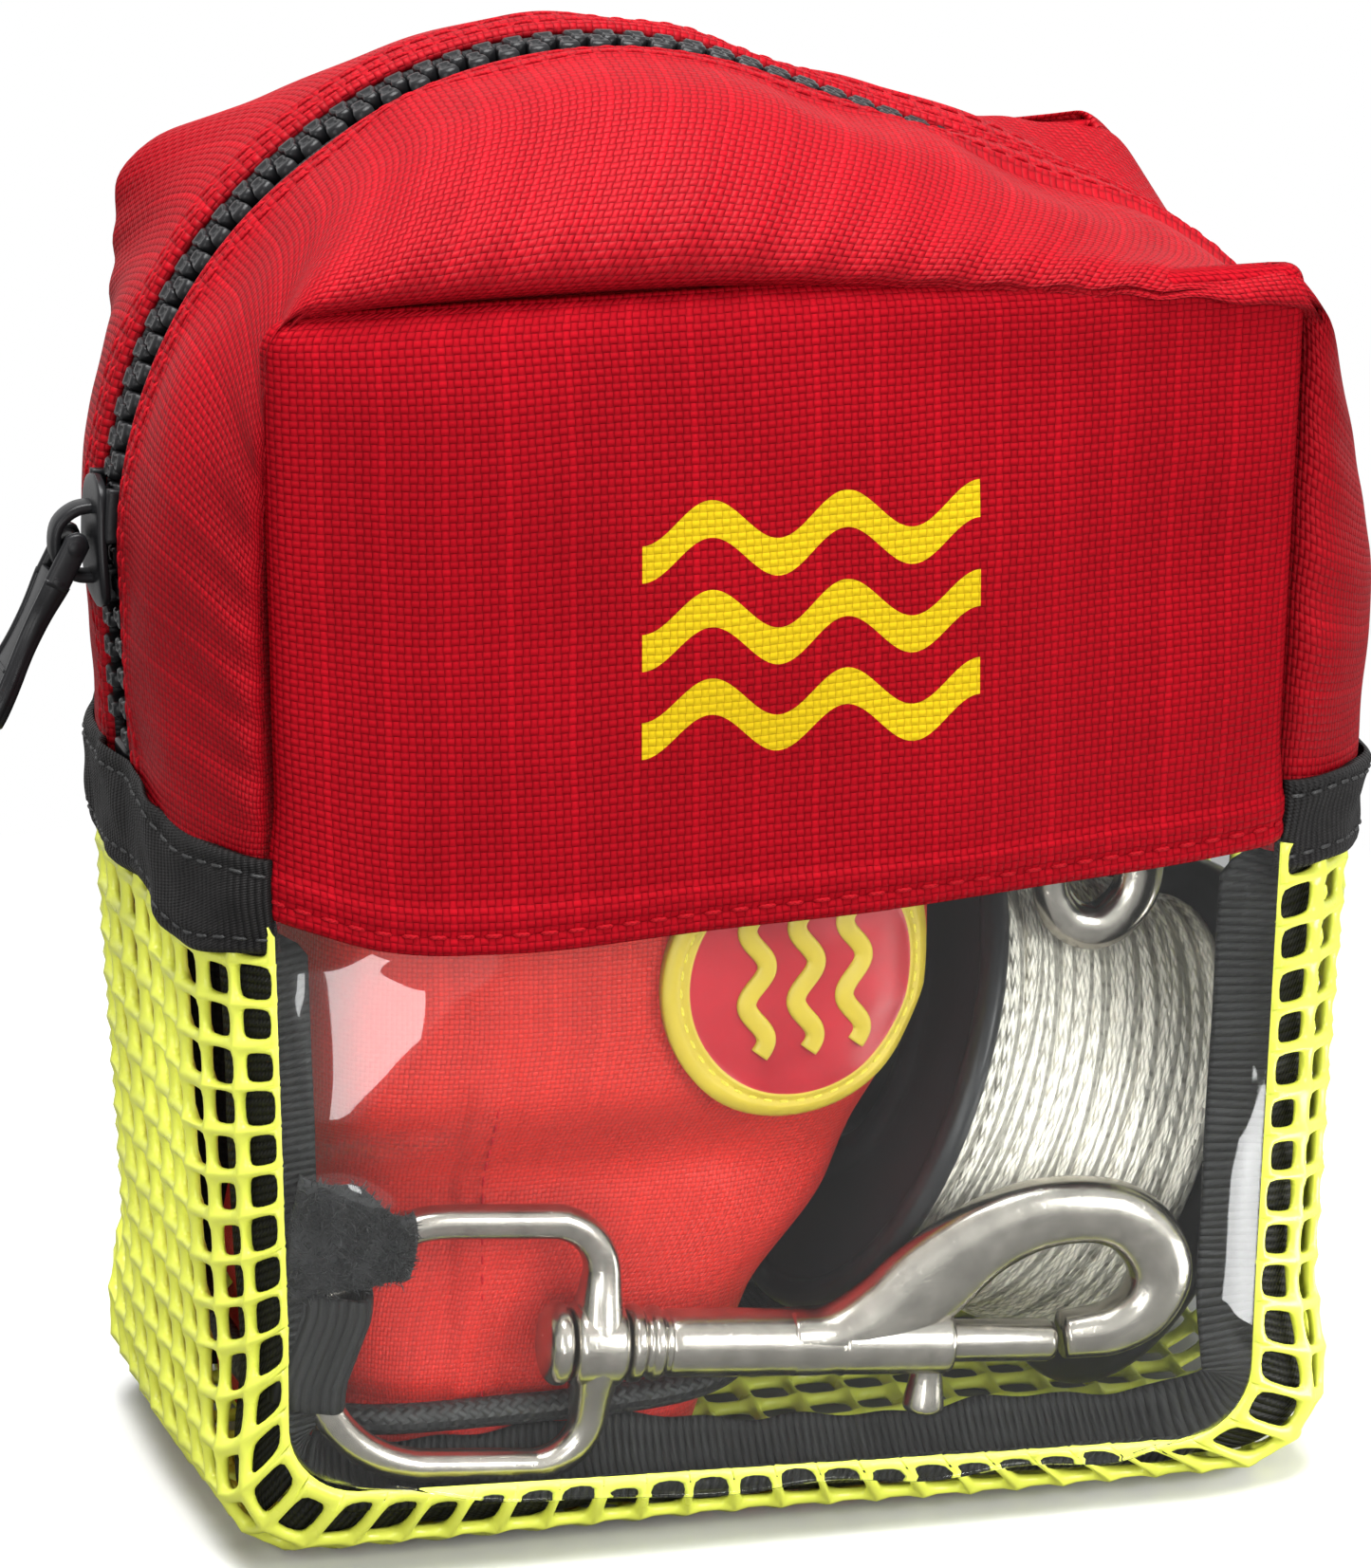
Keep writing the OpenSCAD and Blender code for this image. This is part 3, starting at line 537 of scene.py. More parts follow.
def make_weave():
    """Plain weave on a map in mm: yarns one pitch apart pass over and under each other, some of them thicker.

    Grid marks every eighth yarn along the map's first direction.
    """
    inputs = {"Map": None, "Pitch": 0.8, "Slub": 0.5}
    tree, given, out = group("plain_weave", inputs, ["Height", "Tone", "Grid"])
    wander = add(tree, "ShaderNodeTexNoise", Vector=given["Map"], Scale=0.06, Detail=1.0)
    shift = calc(tree, "MULTIPLY", wander.outputs[0], 0.8)
    xyz = add(tree, "ShaderNodeSeparateXYZ", Vector=given["Map"])
    u = calc(tree, "DIVIDE", calc(tree, "ADD", xyz.outputs[0], shift), given["Pitch"])
    v = calc(tree, "DIVIDE", calc(tree, "ADD", xyz.outputs[1], shift), given["Pitch"])
    cu, cv = calc(tree, "FLOOR", u), calc(tree, "FLOOR", v)
    a = calc(tree, "SINE", calc(tree, "MULTIPLY", calc(tree, "FRACT", u), math.pi))
    b = calc(tree, "SINE", calc(tree, "MULTIPLY", calc(tree, "FRACT", v), math.pi))
    over = calc(tree, "MODULO", calc(tree, "ADD", calc(tree, "ADD", cu, cv), KEEP_POSITIVE), 2.0)
    warp = calc(tree, "MULTIPLY", calc(tree, "POWER", a, 0.7), calc(tree, "MULTIPLY_ADD", b, 0.35, 0.65))
    weft = calc(tree, "MULTIPLY", calc(tree, "POWER", b, 0.7), calc(tree, "MULTIPLY_ADD", a, 0.35, 0.65))
    high = either(tree, over, warp, weft)
    line_u = add(tree, "ShaderNodeCombineXYZ", X=cu, Y=calc(tree, "MULTIPLY", v, 0.012))
    line_v = add(tree, "ShaderNodeCombineXYZ", X=cv, Y=calc(tree, "MULTIPLY", u, 0.012), Z=7.0)
    slub_u = add(tree, "ShaderNodeTexNoise", Vector=line_u.outputs[0], Scale=1.0, Detail=1.0)
    slub_v = add(tree, "ShaderNodeTexNoise", Vector=line_v.outputs[0], Scale=1.0, Detail=1.0)
    even = calc(tree, "MULTIPLY_ADD", slub_v.outputs[0], 0.45, 0.275)
    thick = either(tree, over, slub_u.outputs[0], even)
    lift = calc(tree, "MULTIPLY", calc(tree, "SUBTRACT", thick, 0.5), given["Slub"])
    tree.links.new(calc(tree, "ADD", high, lift), out["Height"])
    tree.links.new(thick, out["Tone"])
    every = calc(tree, "MODULO", calc(tree, "ADD", cu, KEEP_POSITIVE), 8.0)
    tree.links.new(calc(tree, "LESS_THAN", every, 0.5), out["Grid"])
    return tree


def make_ribs():
    """Ribbed tape on a map in mm: round ribs across the tape's length, with fine threads along each rib."""
    inputs = {"Map": None, "Pitch": 1.1, "Thread": 0.35}
    tree, given, out = group("ribbed_tape", inputs, ["Height", "Tone"])
    xyz = add(tree, "ShaderNodeSeparateXYZ", Vector=given["Map"])
    u = calc(tree, "DIVIDE", xyz.outputs[0], given["Pitch"])
    v = calc(tree, "DIVIDE", xyz.outputs[1], given["Thread"])
    twist = arches(tree, calc(tree, "ADD", u, v))
    tree.links.new(calc(tree, "MULTIPLY_ADD", twist, 0.3, arches(tree, u)), out["Height"])
    grain = add(tree, "ShaderNodeTexNoise", Vector=given["Map"], Scale=0.5, Detail=4.0)
    tree.links.new(grain.outputs[0], out["Tone"])
    return tree


def make_braid():
    """Braid on a map of length in mm and share round the cord: two sets of strands cross on the slant."""
    inputs = {"Map": None, "Pitch": 2.0, "Strands": 4.0}
    tree, given, out = group("braid", inputs, ["Height", "Tone"])
    xyz = add(tree, "ShaderNodeSeparateXYZ", Vector=given["Map"])
    u = calc(tree, "DIVIDE", xyz.outputs[0], given["Pitch"])
    v = calc(tree, "MULTIPLY", xyz.outputs[1], given["Strands"])
    one = calc(tree, "ADD", u, v)
    two = calc(tree, "SUBTRACT", u, v)
    cell = calc(tree, "ADD", calc(tree, "FLOOR", one), calc(tree, "FLOOR", two))
    over = calc(tree, "MODULO", calc(tree, "ADD", cell, KEEP_POSITIVE), 2.0)
    tree.links.new(either(tree, over, arches(tree, one), arches(tree, two)), out["Height"])
    stretched = add(tree, "ShaderNodeMapping", Vector=given["Map"], Scale=(0.3, 6.0, 1.0))
    grain = add(tree, "ShaderNodeTexNoise", Vector=stretched.outputs[0], Scale=1.0, Detail=3.0)
    tree.links.new(grain.outputs[0], out["Tone"])
    return tree


def make_patches():
    """Soft and fine unevenness in space, for dirt, gloss and shade, in metres."""
    inputs = {"Place": None, "Size": 60.0, "Fine": 900.0}
    tree, given, out = group("patches", inputs, ["Broad", "Grain"])
    broad = add(tree, "ShaderNodeTexNoise", Vector=given["Place"], Scale=given["Size"], Detail=4.0)
    fine = add(tree, "ShaderNodeTexNoise", Vector=given["Place"], Scale=given["Fine"], Detail=3.0)
    tree.links.new(broad.outputs[0], out["Broad"])
    tree.links.new(fine.outputs[0], out["Grain"])
    return tree


WEAVE, RIBS, BRAID, PATCHES = make_weave(), make_ribs(), make_braid(), make_patches()


def use(tree, shared, **inputs):
    """A node group's outputs, with its inputs set."""
    node = tree.nodes.new("ShaderNodeGroup")
    node.node_tree = shared
    for key, value in inputs.items():
        feed(tree, node.inputs[key], value)
    return node.outputs


def material(name, **constants):
    """A Principled material; constants go straight on the shader's own sockets."""
    mat = bpy.data.materials.new(name)
    mat.use_nodes = True
    tree = mat.node_tree
    shader = tree.nodes["Principled BSDF"]
    for key, value in constants.items():
        shader.inputs[key.replace("_", " ")].default_value = value
    cloth = tree.nodes.new("ShaderNodeUVMap")
    cloth.uv_map = "cloth"
    place = tree.nodes.new("ShaderNodeTexCoord")
    return mat, tree, shader, cloth.outputs[0], place.outputs["Object"]


def bump(tree, shader, height, depth_mm, strength=1.0):
    """Feeds a height to the shader's normal as a bump that is depth_mm deep."""
    node = add(tree, "ShaderNodeBump", Strength=strength, Distance=depth_mm * MM, Height=height)
    tree.links.new(node.outputs[0], shader.inputs["Normal"])


def woven(name, colour, pitch, depth, rough, grid_tone=0.96, gloss=0.2, waves=False):
    """Woven nylon: yarn relief, painted shade in the gaps between yarns, uneven yarns, a line of another tone
    at every eighth yarn.

    With waves, a yellow wave sign is printed on it.
    """
    mat, tree, shader, cloth, place = material(name, Specular_IOR_Level=gloss)
    weave = use(tree, WEAVE, Map=cloth, Pitch=pitch, Slub=0.3)
    patch = use(tree, PATCHES, Place=place, Size=45.0, Fine=700.0)
    base = np.array(colour)
    # painted shade: the colour drops to 0.6 of itself in the gaps between yarns and rises a little on their
    # crests
    shade = ramp(tree, weave["Height"], [(0.1, tuple(base * 0.6)), (0.8, tuple(base * 1.06))])
    slub = ramp(tree, weave["Tone"], [(0.3, 0.88), (0.72, 1.12)])
    tone = blend_colour(tree, 1.0, shade, slub, "MULTIPLY")
    line = blend_colour(tree, weave["Grid"], (1.0, 1.0, 1.0), (grid_tone,) * 3)
    tone = blend_colour(tree, 1.0, tone, line, "MULTIPLY")
    broad = ramp(tree, patch["Broad"], [(0.3, 0.9), (0.7, 1.07)])
    tone = blend_colour(tree, 1.0, tone, broad, "MULTIPLY")
    if waves:
        ink = print_mask(tree, place, weave["Height"])
        tone = blend_colour(tree, ink, tone, INK)
    tree.links.new(tone, shader.inputs["Base Color"])
    tree.links.new(calc(tree, "MULTIPLY_ADD", patch["Grain"], 0.2, rough - 0.1), shader.inputs["Roughness"])
    bump(tree, shader, weave["Height"], depth)
    return mat


def print_mask(tree, place, height):
    """Ink of three wavy bars in the XZ plane, thin where the weave dips."""
    mid_x, mid_z = 1.5 * MM, 121.0 * MM
    wave_length, wave_high, half_width, half_bar, spacing = 17.0, 2.6, 21.2, 2.3, 11.0
    xyz = add(tree, "ShaderNodeSeparateXYZ", Vector=place)
    x = calc(tree, "MULTIPLY", calc(tree, "SUBTRACT", xyz.outputs[0], mid_x), 1 / MM)
    z = calc(tree, "MULTIPLY", calc(tree, "SUBTRACT", xyz.outputs[2], mid_z), 1 / MM)
    swing = calc(tree, "SINE", calc(tree, "MULTIPLY", x, TAU / wave_length))
    swing = calc(tree, "MULTIPLY", swing, wave_high)
    level = calc(tree, "SUBTRACT", z, swing)
    inside = calc(tree, "LESS_THAN", calc(tree, "ABSOLUTE", x), half_width)
    bars = 0.0
    for middle in (-spacing, 0.0, spacing):
        off = calc(tree, "ABSOLUTE", calc(tree, "SUBTRACT", level, middle))
        bars = calc(tree, "MAXIMUM", calc(tree, "LESS_THAN", off, half_bar), bars)
    solid = ramp(tree, height, [(0.05, 0.55), (0.3, 1.0)])
    return calc(tree, "MULTIPLY", calc(tree, "MULTIPLY", bars, inside), solid)


def ribbed(name, colour, pitch, thread, depth):
    """Ribbed black tape: round ribs with threads along them, painted shade in the troughs between the ribs,
    and an uneven grey tone.
    """
    mat, tree, shader, cloth, _ = material(name, Roughness=0.55, Specular_IOR_Level=0.16)
    rib = use(tree, RIBS, Map=cloth, Pitch=pitch, Thread=thread)
    base = np.array(colour)
    # painted shade: the troughs between the ribs darken to 0.3 of the colour, the crests keep it
    shade = ramp(tree, rib["Height"], [(0.0, tuple(base * 0.3)), (0.9, tuple(base))])
    grey = ramp(tree, rib["Tone"], [(0.3, 0.75), (0.75, 1.35)])
    tree.links.new(blend_colour(tree, 1.0, shade, grey, "MULTIPLY"), shader.inputs["Base Color"])
    bump(tree, shader, rib["Height"], depth)
    return mat


def braided(name, colour, pitch, strands, depth, rough, gloss=0.5, gap_shade=0.72):
    """Braided cord: slanting strands with fine fibres, with painted shade between them."""
    mat, tree, shader, cloth, _ = material(name, Roughness=rough, Specular_IOR_Level=gloss)
    braid = use(tree, BRAID, Map=cloth, Pitch=pitch, Strands=strands)
    base = np.array(colour)
    # painted shade: between the strands the colour drops by the given factor
    shade = ramp(tree, braid["Height"], [(0.05, tuple(base * gap_shade)), (0.6, tuple(base))])
    fibre = ramp(tree, braid["Tone"], [(0.32, 0.7), (0.62, 1.1)])
    tree.links.new(blend_colour(tree, 1.0, shade, fibre, "MULTIPLY"), shader.inputs["Base Color"])
    bump(tree, shader, braid["Height"], depth)
    return mat


def moulded(name, colour, rough, depth=0.03, fine=1500.0, size=120.0, spread=0.15, gloss=0.5):
    """Moulded plastic: fine skin texture, uneven gloss and slight shade changes."""
    mat, tree, shader, _, place = material(name, Specular_IOR_Level=gloss)
    patch = use(tree, PATCHES, Place=place, Size=size, Fine=fine)
    base = np.array(colour)
    tone = ramp(tree, patch["Broad"], [(0.3, tuple(base * (1 - spread))), (0.7, tuple(base * (1 + spread)))])
    tree.links.new(tone, shader.inputs["Base Color"])
    tree.links.new(calc(tree, "MULTIPLY_ADD", patch["Broad"], 0.3, rough - 0.15), shader.inputs["Roughness"])
    bump(tree, shader, patch["Grain"], depth)
    return mat


def steel(name, colour, rough):
    """Cast and tumbled stainless steel: polished, with small pits and cloudy gloss."""
    mat, tree, shader, _, place = material(name, Metallic=1.0)
    patch = use(tree, PATCHES, Place=place, Size=260.0, Fine=1400.0)
    base = np.array(colour)
    tone = ramp(tree, patch["Broad"], [(0.25, tuple(base * 0.85)), (0.7, tuple(base * 1.08))])
    tree.links.new(tone, shader.inputs["Base Color"])
    tree.links.new(calc(tree, "MULTIPLY_ADD", patch["Broad"], 0.16, rough - 0.08), shader.inputs["Roughness"])
    pits = ramp(tree, patch["Grain"], [(0.26, 0.0), (0.4, 1.0)])
    bump(tree, shader, pits, 0.03, 0.5)
    return mat


def clear_film(name):
    """Clear flexible film: glass that lets lamps through, with faint scuffs in its gloss."""
    tint = (0.97, 0.985, 0.98, 1)
    mat, tree, shader, _, place = material(name, Transmission_Weight=1.0, IOR=1.38, Base_Color=tint)
    patch = use(tree, PATCHES, Place=place, Size=70.0, Fine=400.0)
    scuff = ramp(tree, patch["Broad"], [(0.45, 0.015), (0.85, 0.07)])
    tree.links.new(scuff, shader.inputs["Roughness"])
    path = tree.nodes.new("ShaderNodeLightPath")
    clear = add(tree, "ShaderNodeBsdfTransparent", Color=(0.95, 0.97, 0.96, 1))
    mix = mix_shaders(tree, path.outputs["Is Shadow Ray"], shader, clear)
    tree.links.new(mix.outputs[0], tree.nodes["Material Output"].inputs["Surface"])
    return mat


RED = (0.33, 0.0026, 0.0085)
INK = (0.65, 0.45, 0.008)
NYLON = dict(pitch=0.95, depth=0.2, grid_tone=1.14)  # weave of both red cloths
THREAD = dict(pitch=0.7, strands=2.0, depth=0.05)  # twist of every sewing thread
M_RED = woven("red_nylon", RED, rough=0.55, gloss=0.09, **NYLON)
M_FRONT = woven("red_nylon_printed", RED, rough=0.62, gloss=0.04, waves=True, **NYLON)
M_BUOY = woven("buoy_nylon", (0.48, 0.018, 0.012), pitch=0.62, depth=0.09, rough=0.48, grid_tone=0.97)
# painted shade: near-black cloth for the back panel's inner face, standing for the shade inside the pouch
M_INSIDE_SHADE = woven("painted_inside_shade", (0.022, 0.020, 0.022), pitch=0.78, depth=0.1, rough=0.6)
M_BAND = ribbed("black_grosgrain", (0.013, 0.012, 0.012), pitch=0.95, thread=0.4, depth=0.3)
M_TAPE = ribbed("black_seam_tape", (0.013, 0.013, 0.013), pitch=1.1, thread=0.45, depth=0.3)
M_WEB = ribbed("black_webbing", (0.013, 0.013, 0.013), pitch=1.25, thread=0.5, depth=0.3)
M_ZIPTAPE = ribbed("zip_tape_weave", (0.016, 0.016, 0.017), pitch=0.7, thread=0.5, depth=0.1)
M_NET = moulded("yellow_net", (0.86, 0.92, 0.11), rough=0.3, depth=0.05, fine=700.0, size=90.0, spread=0.06)
M_TOOTH = moulded("zip_black", (0.009, 0.009, 0.010), rough=0.32, depth=0.02, gloss=0.2)
M_SPOOL = moulded(
    "spool_black", (0.014, 0.014, 0.015), rough=0.36, depth=0.02, fine=1200.0, size=60.0, gloss=0.3
)
M_BADGE = moulded("badge_red", (0.33, 0.004, 0.012), rough=0.36, fine=900.0)
M_YELLOW = moulded("badge_yellow", (0.43, 0.32, 0.02), rough=0.45, fine=900.0, spread=0.06)
M_STEEL = steel("stainless_steel", (0.45, 0.42, 0.375), rough=0.23)
M_SPRING = steel("spring_steel", (0.5, 0.5, 0.5), rough=0.3)
M_ELASTIC = braided("black_elastic", (0.013, 0.013, 0.013), pitch=1.5, strands=8.0, depth=0.2, rough=0.6)
M_LINE = braided("white_line", (0.97, 0.92, 0.80), pitch=3.2, strands=10.0, depth=0.22, rough=0.36, gap_shade=0.65)
M_PILE = moulded("black_pile", (0.015, 0.015, 0.016), rough=0.85, depth=0.3, fine=1200.0)
M_THREAD_RED = braided("red_thread", (0.40, 0.005, 0.012), rough=0.7, gloss=0.08, **THREAD)
M_THREAD_BLACK = braided("black_thread", (0.018, 0.018, 0.018), rough=0.5, **THREAD)
M_THREAD_YELLOW = braided("yellow_thread", (0.66, 0.56, 0.045), rough=0.5, **THREAD)
M_FILM = clear_film("clear_film")


# Upper cloth
def hem_line(x):
    """Height of the front panel's lower edge: it sags a little between the side seams."""
    places = [-75, -63, -57, -48, -33, -16, 19, 45, 65, 75]
    heights = [86.9, 86.9, 84.2, 81.8, 81.6, 82.5, 84.4, 85.6, 86.8, 86.8]
    return through(x, places, heights)


def lined(grid, thick, **more):
    """Closed sheet with the grid as its outer face and thick as its thickness."""
    return slab(grid, grid - thick * grid_normals(grid), **more)


def make_front():
    """Front panel: bulged face with soft wrinkles, edges rolled into the seams and a doubled, sewn hem."""
    a, k = np.meshgrid(np.linspace(0, 1, 170), np.linspace(0, 1, 130), indexing="ij")
    half_width, rise, stitched = 64.6, 0.6, 2.4
    x0 = half_width * (2 * a - 1)
    hem = hem_line(x0)
    z = hem + (TOP_Z + rise - hem) * k
    p = face(a, np.minimum(z, TOP_Z), 1.9, -1)
    p[..., 2] = z
    side, top, low = np.minimum(a, 1 - a) * PANEL_W, TOP_Z + rise - z, z - hem
    inner = soft(side / 14) * soft(top / 14)
    lift = inner * (0.5 * ripple(x0, z, 74, 2) + 0.28 * ripple(x0, z, 34, 1))
    lift += inner * 0.25 * np.sin(x0 / 7.5 + 0.6 * np.sin(z / 9)) * np.exp(-low / 11)
    lift += 0.45 * soft((6.2 - low) / 0.8) - 0.4 * hump(low, stitched, 0.6) - 0.5 * np.exp(-low / 0.45)
    p = p + grid_normals(p) * lift[..., None]
    p[..., 1] += 3.2 * np.maximum(np.exp(-side / 1.7), np.exp(-top / 1.8))
    p[..., 2] -= (0.9 + 1.5 * soft((x0 + 10) / 50)) * np.exp(-top / 2.0)
    p[..., 0] -= 1.2 * np.sign(p[..., 0]) * np.exp(-side / 1.7) * soft((z - 90) / 12)
    thread = stitch_row(line_at(p, low, stitched) - 0.12 * Y_AXIS, -Y_AXIS, pitch=3.4, length=2.5, radius=0.3)
    parts, mats = [lined(p, CLOTH_T), thread], [M_FRONT, M_THREAD_RED]
    return piece("front_cloth", parts, mats, "pouch", ["front_panel"])


def make_back():
    """Back panel: a plain bulged face from the foot seam to the top seam, its inner face near black as
    painted shade of the pouch's inside, edges rolled in.
    """
    a, k = np.meshgrid(np.linspace(1, 0, 120), np.linspace(0, 1, 110), indexing="ij")
    foot = FOOT_LEFT + (FOOT_RIGHT - FOOT_LEFT) * a
    z = foot + (TOP_Z - foot) * k
    p = face(a, z, 1.3, 1)
    side, end = np.minimum(a, 1 - a) * PANEL_W, np.minimum(z - foot, TOP_Z - z)
    inner = soft(side / 14) * soft(end / 14)
    x0 = 64 * (2 * a - 1)
    lift = inner * (0.7 * ripple(x0, z, 70, 12) + 0.3 * ripple(x0, z, 30, 13))
    p = p + grid_normals(p) * lift[..., None]
    p[..., 1] -= 2.6 * np.maximum(np.exp(-side / 1.8), np.exp(-end / 1.8))
    p[..., 2] -= 3.6 * np.exp(-(TOP_Z - z) / 2.4)
    p[..., 0] -= 2.0 * np.sign(p[..., 0]) * np.exp(-side / 1.8) * soft((z - 84) / 8)
    # the inner face gets the near-black painted shade of the pouch's inside
    sheet = lined(p, CLOTH_T, mat_inner=1)
    return piece("back_cloth", [sheet], [M_RED, M_INSIDE_SHADE], "pouch", ["back_panel"])


def make_gusset(sign):
    """One half of the upper gusset, from its seam to the folded edge at the zip.

    The skin is tucked in at the seam, swells over it as a lip, has soft wrinkles and puckers that fade with
    distance from the seam, and ends in a fold with two rows of stitches that closes over the zip's right end.
    """
    low, high = seam_share(0, GUSSET_LOW), 2 + seam_share(2, GUSSET_LOW)
    s, k = np.meshgrid(np.linspace(low, high, 300), np.linspace(0, 1, 76), indexing="ij")
    reach = HALF - SLOT
    stitched = (2.0, 4.6)
    e = reach * k**1.4
    v = sign * (HALF - e) / HALF
    p = skin(s, v)
    out = grid_normals(p) * -sign
    for _ in range(8):
        out[1:-1] = unit(out[:-2] + 2 * out[1:-1] + out[2:])
    run = np.broadcast_to(run_length(p[:, -1])[:, None], s.shape)
    top = soft((s - 0.94) / 0.12) * soft((2.06 - s) / 0.12)
    fold = reach - e
    clear = soft((run - 10) / 9) * soft((run[-1:] - run - 10) / 9)
    free = clear * (1 - hump(s, 1, 0.05)) * (1 - hump(s, 2, 0.05))
    calm = soft(e / 9) * soft(fold / 7) * free
    shut = soft((p[..., 0] - 22) / 16) * soft((s - 1) / 0.2) * free
    lift = calm * (0.55 * ripple(run, e, 46, 21 + sign) + 0.3 * ripple(run, e, 21, 23 + sign))
    lift += free * 0.4 * np.sin(run * TAU / 9 + ripple(run, e, 40, 5)) * np.exp(-e / 6) * soft(e / 2)
    lift += -2.2 * np.exp(-e / 1.1)
    lift += (0.3 * free + 0.95 * shut) * soft((6.6 - fold) / 0.9)
    for far in stitched:
        lift -= 0.35 * hump(fold, far, 0.5)
    lift -= 0.9 * np.exp(-fold / 0.5)
    p = p + out * lift[..., None]
    lip = (1.6 + 2.9 * top) if sign < 0 else (1.0 + 0.8 * top)
    p[..., 1] += sign * (clear * lip * e / 3 * np.exp(1 - e / 3) - 2.3 * np.exp(-e / 0.8))
    p[..., 2] -= top * hump(e, 1.8, 1.7) * (1.0 + 1.2 * soft((p[..., 0] + 10) / 50))
    p[..., 1] -= sign * shut * (5.5 if sign < 0 else 4.9) * soft((12 - fold) / 11)
    inner = p - out * CLOTH_T
    parts = [slab(p, inner)]
    for far in stitched:
        up = out[:, int(np.argmin(np.abs(fold[0] - far)))]
        parts.append(stitch_row(line_at(p, -fold, -far) + 0.12 * up, up, pitch=3.2, length=2.4, radius=0.28))
    where, mats = FACE_NAME[sign], [M_RED, M_THREAD_RED]
    return piece(f"gusset_cloth_{where}", parts, mats, "pouch", [f"gusset_{where}"])


def make_band(side):
    """Ribbed band over the join of cloth and net: a crumpled strip round the side, sewn along both edges."""
    heights = np.linspace(JOIN_Z - BAND_H / 2, JOIN_Z + BAND_H / 2, 26)
    z, v = np.meshgrid(heights, np.linspace(-1, 1, 190), indexing="ij")
    s = side + seam_share(side, z)
    w = (z - JOIN_Z) / (BAND_H / 2)
    seed = 31 + side
    y = v * HALF
    crease = 0.55 * ripple(y, z, 22, seed) + 0.3 * ripple(y, z, 9, seed + 1)
    lift = 1.15 + np.clip(crease, -0.45, 1.2) - 0.5 * np.abs(w) ** 10 - 0.25 * hump(np.abs(w), 0.72, 0.08)
    lift -= 1.6 * np.exp(-(1 - np.abs(v)) * HALF / 1.2)
    p = on_skin(s, v, lift)
    p[..., 2] += 0.9 * ripple(y, 0 * y, 30, seed + 2) * soft((1 - np.abs(v)) * 6)
    out = unit(p - on_skin(s, v, lift - 1.0))
    inner = p - 0.9 * out
    parts = [slab(p, inner, cloth_map(p)[..., ::-1])]
    sewn_rows = (4, 21)
    for j in sewn_rows:
        parts.append(stitch_row(p[j] + 0.05 * out[j], out[j], pitch=3.0, length=2.2, radius=0.25))
    where, mats = "left" if side == 0 else "right", [M_BAND, M_THREAD_BLACK]
    return piece(f"band_{where}", parts, mats, "pouch", [f"binding_{where}"])


# Net, film and inner tapes
def make_net():
    """Moulded net of the lower gusset: left wall, floor and right wall in one.

    Every cell is a ring between its square border and a rounded hole; its height follows a half circle from
    the hole's edge to the middle of the strand, on both faces, and swells into a knot where strands cross.
    """
    left, right = seam_share(0, JOIN_Z - 2), 2 + seam_share(2, JOIN_Z - 2)
    walls, floor_cells, across, k = 14, 22, 13, 16
    rows = np.concatenate([
        np.linspace(right, 3, walls + 1),
        np.linspace(3, 4, floor_cells + 1)[1:],
        np.linspace(4, 4 + left, walls + 1)[1:],
    ])
    fine = np.linspace(-1, 1, 400)
    run = run_length(skin(0.25, fine))
    cols = np.interp(np.linspace(0, 1, across + 1), run / run[-1], fine)
    nr, nc = len(rows) - 1, len(cols) - 1
    th = np.arange(k) / k * TAU
    c, q = np.cos(th), np.sin(th)
    border = 0.5 * np.stack([c, q], -1) / np.maximum(np.abs(c), np.abs(q))[:, None]
    hole = np.stack([squarish(c, 0.55), squarish(q, 0.55)], -1)
    t = np.array([0.0, 0.1, 0.34, 0.66, 1.0])
    i, j = np.meshgrid(np.arange(nr), np.arange(nc), indexing="ij")
    rng = np.random.default_rng(4)
    size = 0.372 * (1 + 0.07 * rng.standard_normal((nr, nc)))
    shift = 0.03 * rng.standard_normal((nr, nc, 1, 2))
    inner = hole * size[..., None, None] + shift
    local = inner[..., None, :] + (border - inner)[..., None, :] * t[:, None]
    knot = np.exp(-(((np.abs(local) - 0.5) ** 2).sum(-1)) / 0.022)
    height = np.sqrt(1 - (1 - t) ** 2) * (0.8 + 0.42 * knot)
    row_at = i[..., None, None] + 0.5 + local[..., 1]
    col_at = j[..., None, None] + 0.5 + local[..., 0]
    edge = np.minimum(np.minimum(col_at, nc - col_at), np.minimum(row_at, nr - row_at))
    height = height * np.sqrt(1 - (1 - np.clip(edge / 0.15, 0, 1)) ** 2)
    s = np.interp(row_at, np.arange(nr + 1), rows)
    v = np.interp(col_at, np.arange(nc + 1), cols)
    sway = 0.35 * ripple(s * 100, v * 40, 42, 51) * soft(edge)
    pts = np.stack([on_skin(s, v, sway - 0.8 + height), on_skin(s, v, sway - 0.8 - height)], 2)
    ring = grid_faces(k, len(t), wrap_n=True)
    per = k * len(t)
    base = (np.arange(nr * nc) * 2 * per)[:, None, None]
    both = (ring[None] + base, ring[None, :, ::-1] + base + per)
    faces = np.concatenate([one.reshape(-1, 4) for one in both])
    uv = np.stack([s * 100, v * 40], -1)[:, :, None] + np.zeros((1, 1, 2, 1, 1, 1))
    net = (pts.reshape(-1, 3), faces, uv.reshape(-1, 2), 0)
    nodes = ["mesh_left", "mesh_floor", "mesh_right"]
    return piece("yellow_net", [net], M_NET, "pouch", nodes)


